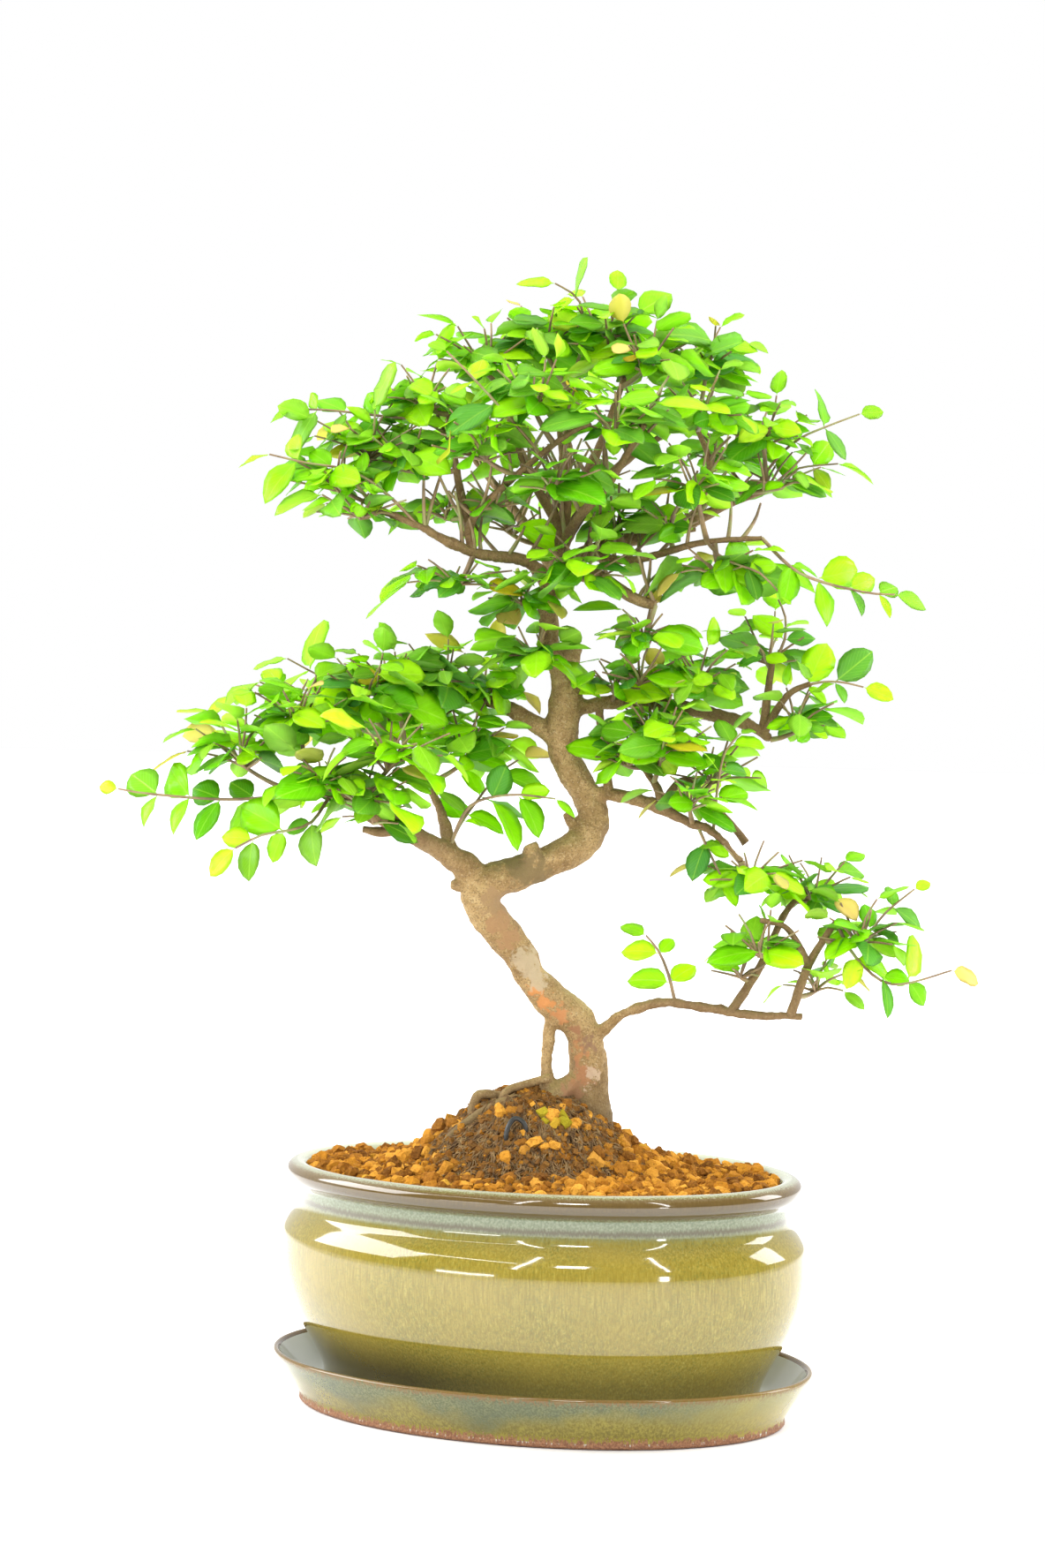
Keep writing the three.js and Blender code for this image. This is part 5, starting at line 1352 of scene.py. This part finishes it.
def makeGrainShapes(values, random):
    shapes = []
    for k in range(values["shapes"]):
        bpy.ops.mesh.primitive_cube_add(size=1)
        grain = bpy.context.object
        enterEdit()
        if values["cuts"]:
            bpy.ops.mesh.subdivide(number_cuts=values["cuts"], smoothness=grainShapeValues["smooth"])
        bpy.ops.transform.vertex_random(offset=values["rough"], seed=k + grainShapeValues["firstSeed"])
        leaveEdit()
        points = np.array([vertex.co[:] for vertex in grain.data.vertices])
        wide, high = random.uniform(*grainShapeValues["wide"]), random.uniform(*grainShapeValues["high"])
        points *= np.array([1, wide, high])
        shapes.append((points, [list(polygon.vertices) for polygon in grain.data.polygons]))
        bpy.data.objects.remove(grain)
    return shapes


def spinMatrix(random):
    tip, turn = grainShapeValues["tip"], 2 * math.pi
    return np.array(Matrix.Rotation(random.uniform(0, turn), 3, "Z")
                    @ Matrix.Rotation(random.uniform(-tip, tip), 3, "X")
                    @ Matrix.Rotation(random.uniform(0, turn), 3, "Y"))


def makeGrains(material):
    soil, grains, crumbs = soilValues, grainValues, crumbValues
    random = np.random.default_rng(grains["seed"])
    grainShapes, crumbShapes = makeGrainShapes(grains, random), makeGrainShapes(crumbs, random)
    limbSamples = limbSamplePoints()
    low = limbSamples[limbSamples[:, 2] < soil["woodBelow"]]
    tones, points, faces = [], [], []
    cells = {}
    placed = offset = tries = 0

    def addGrainAt(spot, size, shapes, tone):
        nonlocal offset
        shape, shapeFaces = shapes[int(random.integers(len(shapes)))]
        points.append((shape * size) @ spinMatrix(random).T + spot)
        faces.extend([index + offset for index in face] for face in shapeFaces)
        offset += len(shape)
        tones.extend([tone] * len(shape))

    def onMoundAt(x, y):
        reach = math.hypot(x - soil["middle"], soil["darkDeep"] * (y + soil["darkNear"]))
        return math.exp(-(reach / soil["darkReach"]) ** soil["darkEdge"])

    def woodGap(spot):
        return (np.linalg.norm(low[:, :3] - spot, axis=1) - low[:, 3]).min()

    def isFree(spot, size):
        # cells of 7 mm keep the search short
        column, row = int(spot[0] // 7), int(spot[1] // 7)
        near = [p for i in (-1, 0, 1) for j in (-1, 0, 1) for p in cells.get((column + i, row + j), [])]
        if any(np.linalg.norm(p[:3] - spot) < grains["apart"] * (p[3] + size) for p in near):
            return False
        if woodGap(spot) < size * grains["fromWood"]:
            return False
        cells.setdefault((column, row), []).append(np.array([*spot, size]))
        return True

    def anySpot():
        angle, reach = random.uniform(0, 2 * math.pi), math.sqrt(random.uniform(0, 1))
        x, y = soil["halfLength"] * reach * math.cos(angle), soil["halfWidth"] * reach * math.sin(angle)
        cosine, sine = math.cos(frontTurn), math.sin(frontTurn)
        return cosine * x + sine * y, cosine * y - sine * x

    for x, y, size, tone, moss in grains["special"]:
        spot = np.array([x, y, groundHeight(x, y) + grains["specialRise"] * size])
        if isFree(spot, size):
            placed += 1
            addGrainAt(spot, size, grainShapes, (tone, moss, 0, 1))
    least, most = grains["size"]
    while placed < grains["count"] and tries < grains["tries"]:
        tries += 1
        x, y = anySpot()
        size = least + (most - least) * random.random() ** grains["fewLarge"]
        onMound = onMoundAt(x, y)
        if random.random() < grains["bareMound"] * (1 - (1 - onMound) ** 2):
            continue
        spot = np.array([x, y, groundHeight(x, y) + random.uniform(*grains["rise"]) * size])
        if isFree(spot, size):
            placed += 1
            moss = random.random() * grains["mostMoss"] if random.random() < grains["mossy"] else 0
            addGrainAt(spot, size, grainShapes, (random.random(), moss, grains["dark"] * onMound, 1))
    for _ in range(crumbs["count"]):
        x, y = anySpot()
        if random.random() < crumbs["onMound"]:
            x = random.normal(soil["middle"], crumbs["moundSpread"][0])
            y = random.normal(crumbs["moundNear"], crumbs["moundSpread"][1])
        size = random.uniform(*crumbs["size"])
        spot = np.array([x, y, groundHeight(x, y) + random.uniform(*crumbs["rise"])])
        if woodGap(spot) < crumbs["fromWood"]:
            continue
        dark = crumbs["pale"]
        if random.random() < crumbs["dark"]:
            dark = crumbs["least"] + crumbs["darker"] * onMoundAt(x, y)
        addGrainAt(spot, size, crumbShapes, (random.random(), 0, dark, 1))
    turned = np.array(frontMatrix.to_3x3())
    piece = meshPiece((np.concatenate(points) @ turned.T).tolist(), faces, False)
    colours = piece.data.color_attributes.new("grainTone", "FLOAT_COLOR", "POINT")
    colours.data.foreach_set("color", np.array(tones).ravel())
    finishPiece(piece, "clayGrains", material)
    print("grains", placed)


def makeRootlets(material):
    # fine roots over the root ball, as short bent hairs that lie on it
    values = rootletValues
    random = np.random.default_rng(values["seed"])
    lines = []
    for _ in range(values["count"]):
        angle, reach = random.uniform(0, 2 * math.pi), random.uniform(*values["from"])
        x = soilValues["middle"] + values["reach"] * reach * math.cos(angle)
        y = values["reach"] * reach * math.sin(angle) + values["near"]
        heading = angle + random.uniform(-values["aside"], values["aside"])
        line = []
        for _ in range(int(random.integers(*values["steps"]))):
            height = groundHeight(x, y) + random.uniform(*values["rise"])
            line.append((x, y, height, random.uniform(*values["radius"])))
            heading += random.uniform(-values["bend"], values["bend"])
            x, y = x + values["step"] * math.cos(heading), y + values["step"] * math.sin(heading)
        lines.append(line)
    finishTubes(tubesPiece(lines, 0), "fineRoots", material)


wireValues = {
    "route": [(-14.5, -27, 106), (-14.2, -30.5, 114.5), (-13.2, -30.5, 119), (-11, -29, 121.8),
              (-8.5, -28.6, 121.3), (-6.5, -28.4, 118.5), (-5.6, -26, 109)],
    "radius": 1.0, "step": 0.8, "roundness": 4,
}


def makeWire(material):
    values = wireValues
    line = alongLimb(withRadius(values["route"], values["radius"], values["radius"]), values["step"])
    wire = tubesPiece([line], values["roundness"])
    finishTubes(wire, "tieWire", material, ["tie_wire"])


clayLook = {
    "shader": {"Roughness": 0.92, "Specular IOR Level": 0.1}, "grain": (1.1, 0.85), "noise": (6, 2),
    "tones": [(0.0, (0.12, 0.044, 0.006)), (0.35, (0.255, 0.098, 0.010)), (0.7, (0.41, 0.170, 0.013)),
              (1.0, (0.58, 0.28, 0.038))],
    "dust": (0.44, 0.20, 0.03), "pores": (0.05, 0.018, 0.004), "moss": (0.27, 0.25, 0.012),
    "mound": (0.13, 0.062, 0.018),
}
ballLook = {
    "name": "rootBall", "shader": {"Roughness": 0.95, "Specular IOR Level": 0.15}, "grain": (1.6, 0.9),
    "tones": [(0.35, (0.025, 0.013, 0.005)), (0.5, (0.06, 0.032, 0.012)), (0.66, (0.12, 0.068, 0.026))],
    "patches": (11, 3), "patchTone": (0.15, 0.08, 0.028),
}
plasticLook = {  # tone and roughness of both plastics, and what they share
    "wireCoating": ((0.012, 0.013, 0.012), 0.4), "meshPlastic": ((0.02, 0.02, 0.022), 0.5),
    "grain": (2.5, 0.12), "paler": 1.8, "haze": 0.01, "wear": 0.06,
}


def clayTone(tree, mask, chance):
    colour = addRamp(tree, chance, clayLook["tones"])
    colour = mixColour(tree, spread(tree, mask, 0.52, 0.7, 0, 0.5), colour, clayLook["dust"])
    return mixColour(tree, spread(tree, mask, 0.46, 0.32, 0, 0.5), colour, clayLook["pores"])


def bedMaterial():
    return plainMaterial({"name": "bakedClayBed", **clayLook}, lambda tree, mask: clayTone(
        tree, mask, addNoise(tree, objectPlace(tree), *clayLook["noise"])))


def grainMaterial():
    # each grain has its own tone, moss and darkness in an attribute
    def tone(tree, mask):
        parts = addNode(tree, "ShaderNodeSeparateColor", {0: attributeOf(tree, "grainTone")["Color"]}).outputs
        chance, green, mound = parts
        colour = clayTone(tree, mask, chance)
        colour = mixColour(tree, spread(tree, green, 0.35, 0.8, 0, 0.8), colour, clayLook["moss"])
        return mixColour(tree, spread(tree, mound, 0.2, 0.95, 0, 0.85), colour, clayLook["mound"])
    return plainMaterial({"name": "bakedClay", **clayLook}, tone)


def rootBallMaterial():
    def tone(tree, mask):
        patches = addNoise(tree, objectPlace(tree), *ballLook["patches"])
        colour = addRamp(tree, mask, ballLook["tones"])
        return mixColour(tree, spread(tree, patches, 0.5, 0.68, 0, 0.7), colour, ballLook["patchTone"])
    return plainMaterial(ballLook, tone)


def plasticMaterial(name):
    look = plasticLook
    tone, rough = look[name]
    material, tree, shader = newMaterial(name)
    grain = addGrain(tree, *look["grain"])
    paler = tuple(value * look["paler"] + look["haze"] for value in tone)
    feed(tree, shader, {
        "Base Color": mixColour(tree, grain["Mask"], tone, paler),
        "Roughness": spread(tree, grain["Mask"], 0.3, 0.7, rough - look["wear"], rough + look["wear"]),
        "Normal": grain["Normal"],
    })
    return material


def paintNode(name, material):
    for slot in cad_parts[name].material_slots:
        slot.material = material


# Making, in order
makeGrainGroup()
makeGlazeGroup()
makeCamera()
makeFloor()
makeLamps()
makeSurround()
print("studio ready")
makeTray(trayMaterial())
makePot(potMaterial())
print("pot and tray ready")
makeGrains(grainMaterial())
makeRootlets(fibrousMaterial(fibreLook))
makeWire(plasticMaterial("wireCoating"))
paintNode("soil_bed", bedMaterial())
paintNode("root_ball", rootBallMaterial())
meshPlastic = plasticMaterial("meshPlastic")
for name in ("drainage_mesh_left", "drainage_mesh_right"):
    paintNode(name, meshPlastic)
print("soil ready")
makeTrunk(barkMaterial())
print("trunk ready")
makeFoliage(leafMaterial(), fibrousMaterial(twigLook))
print("foliage ready")
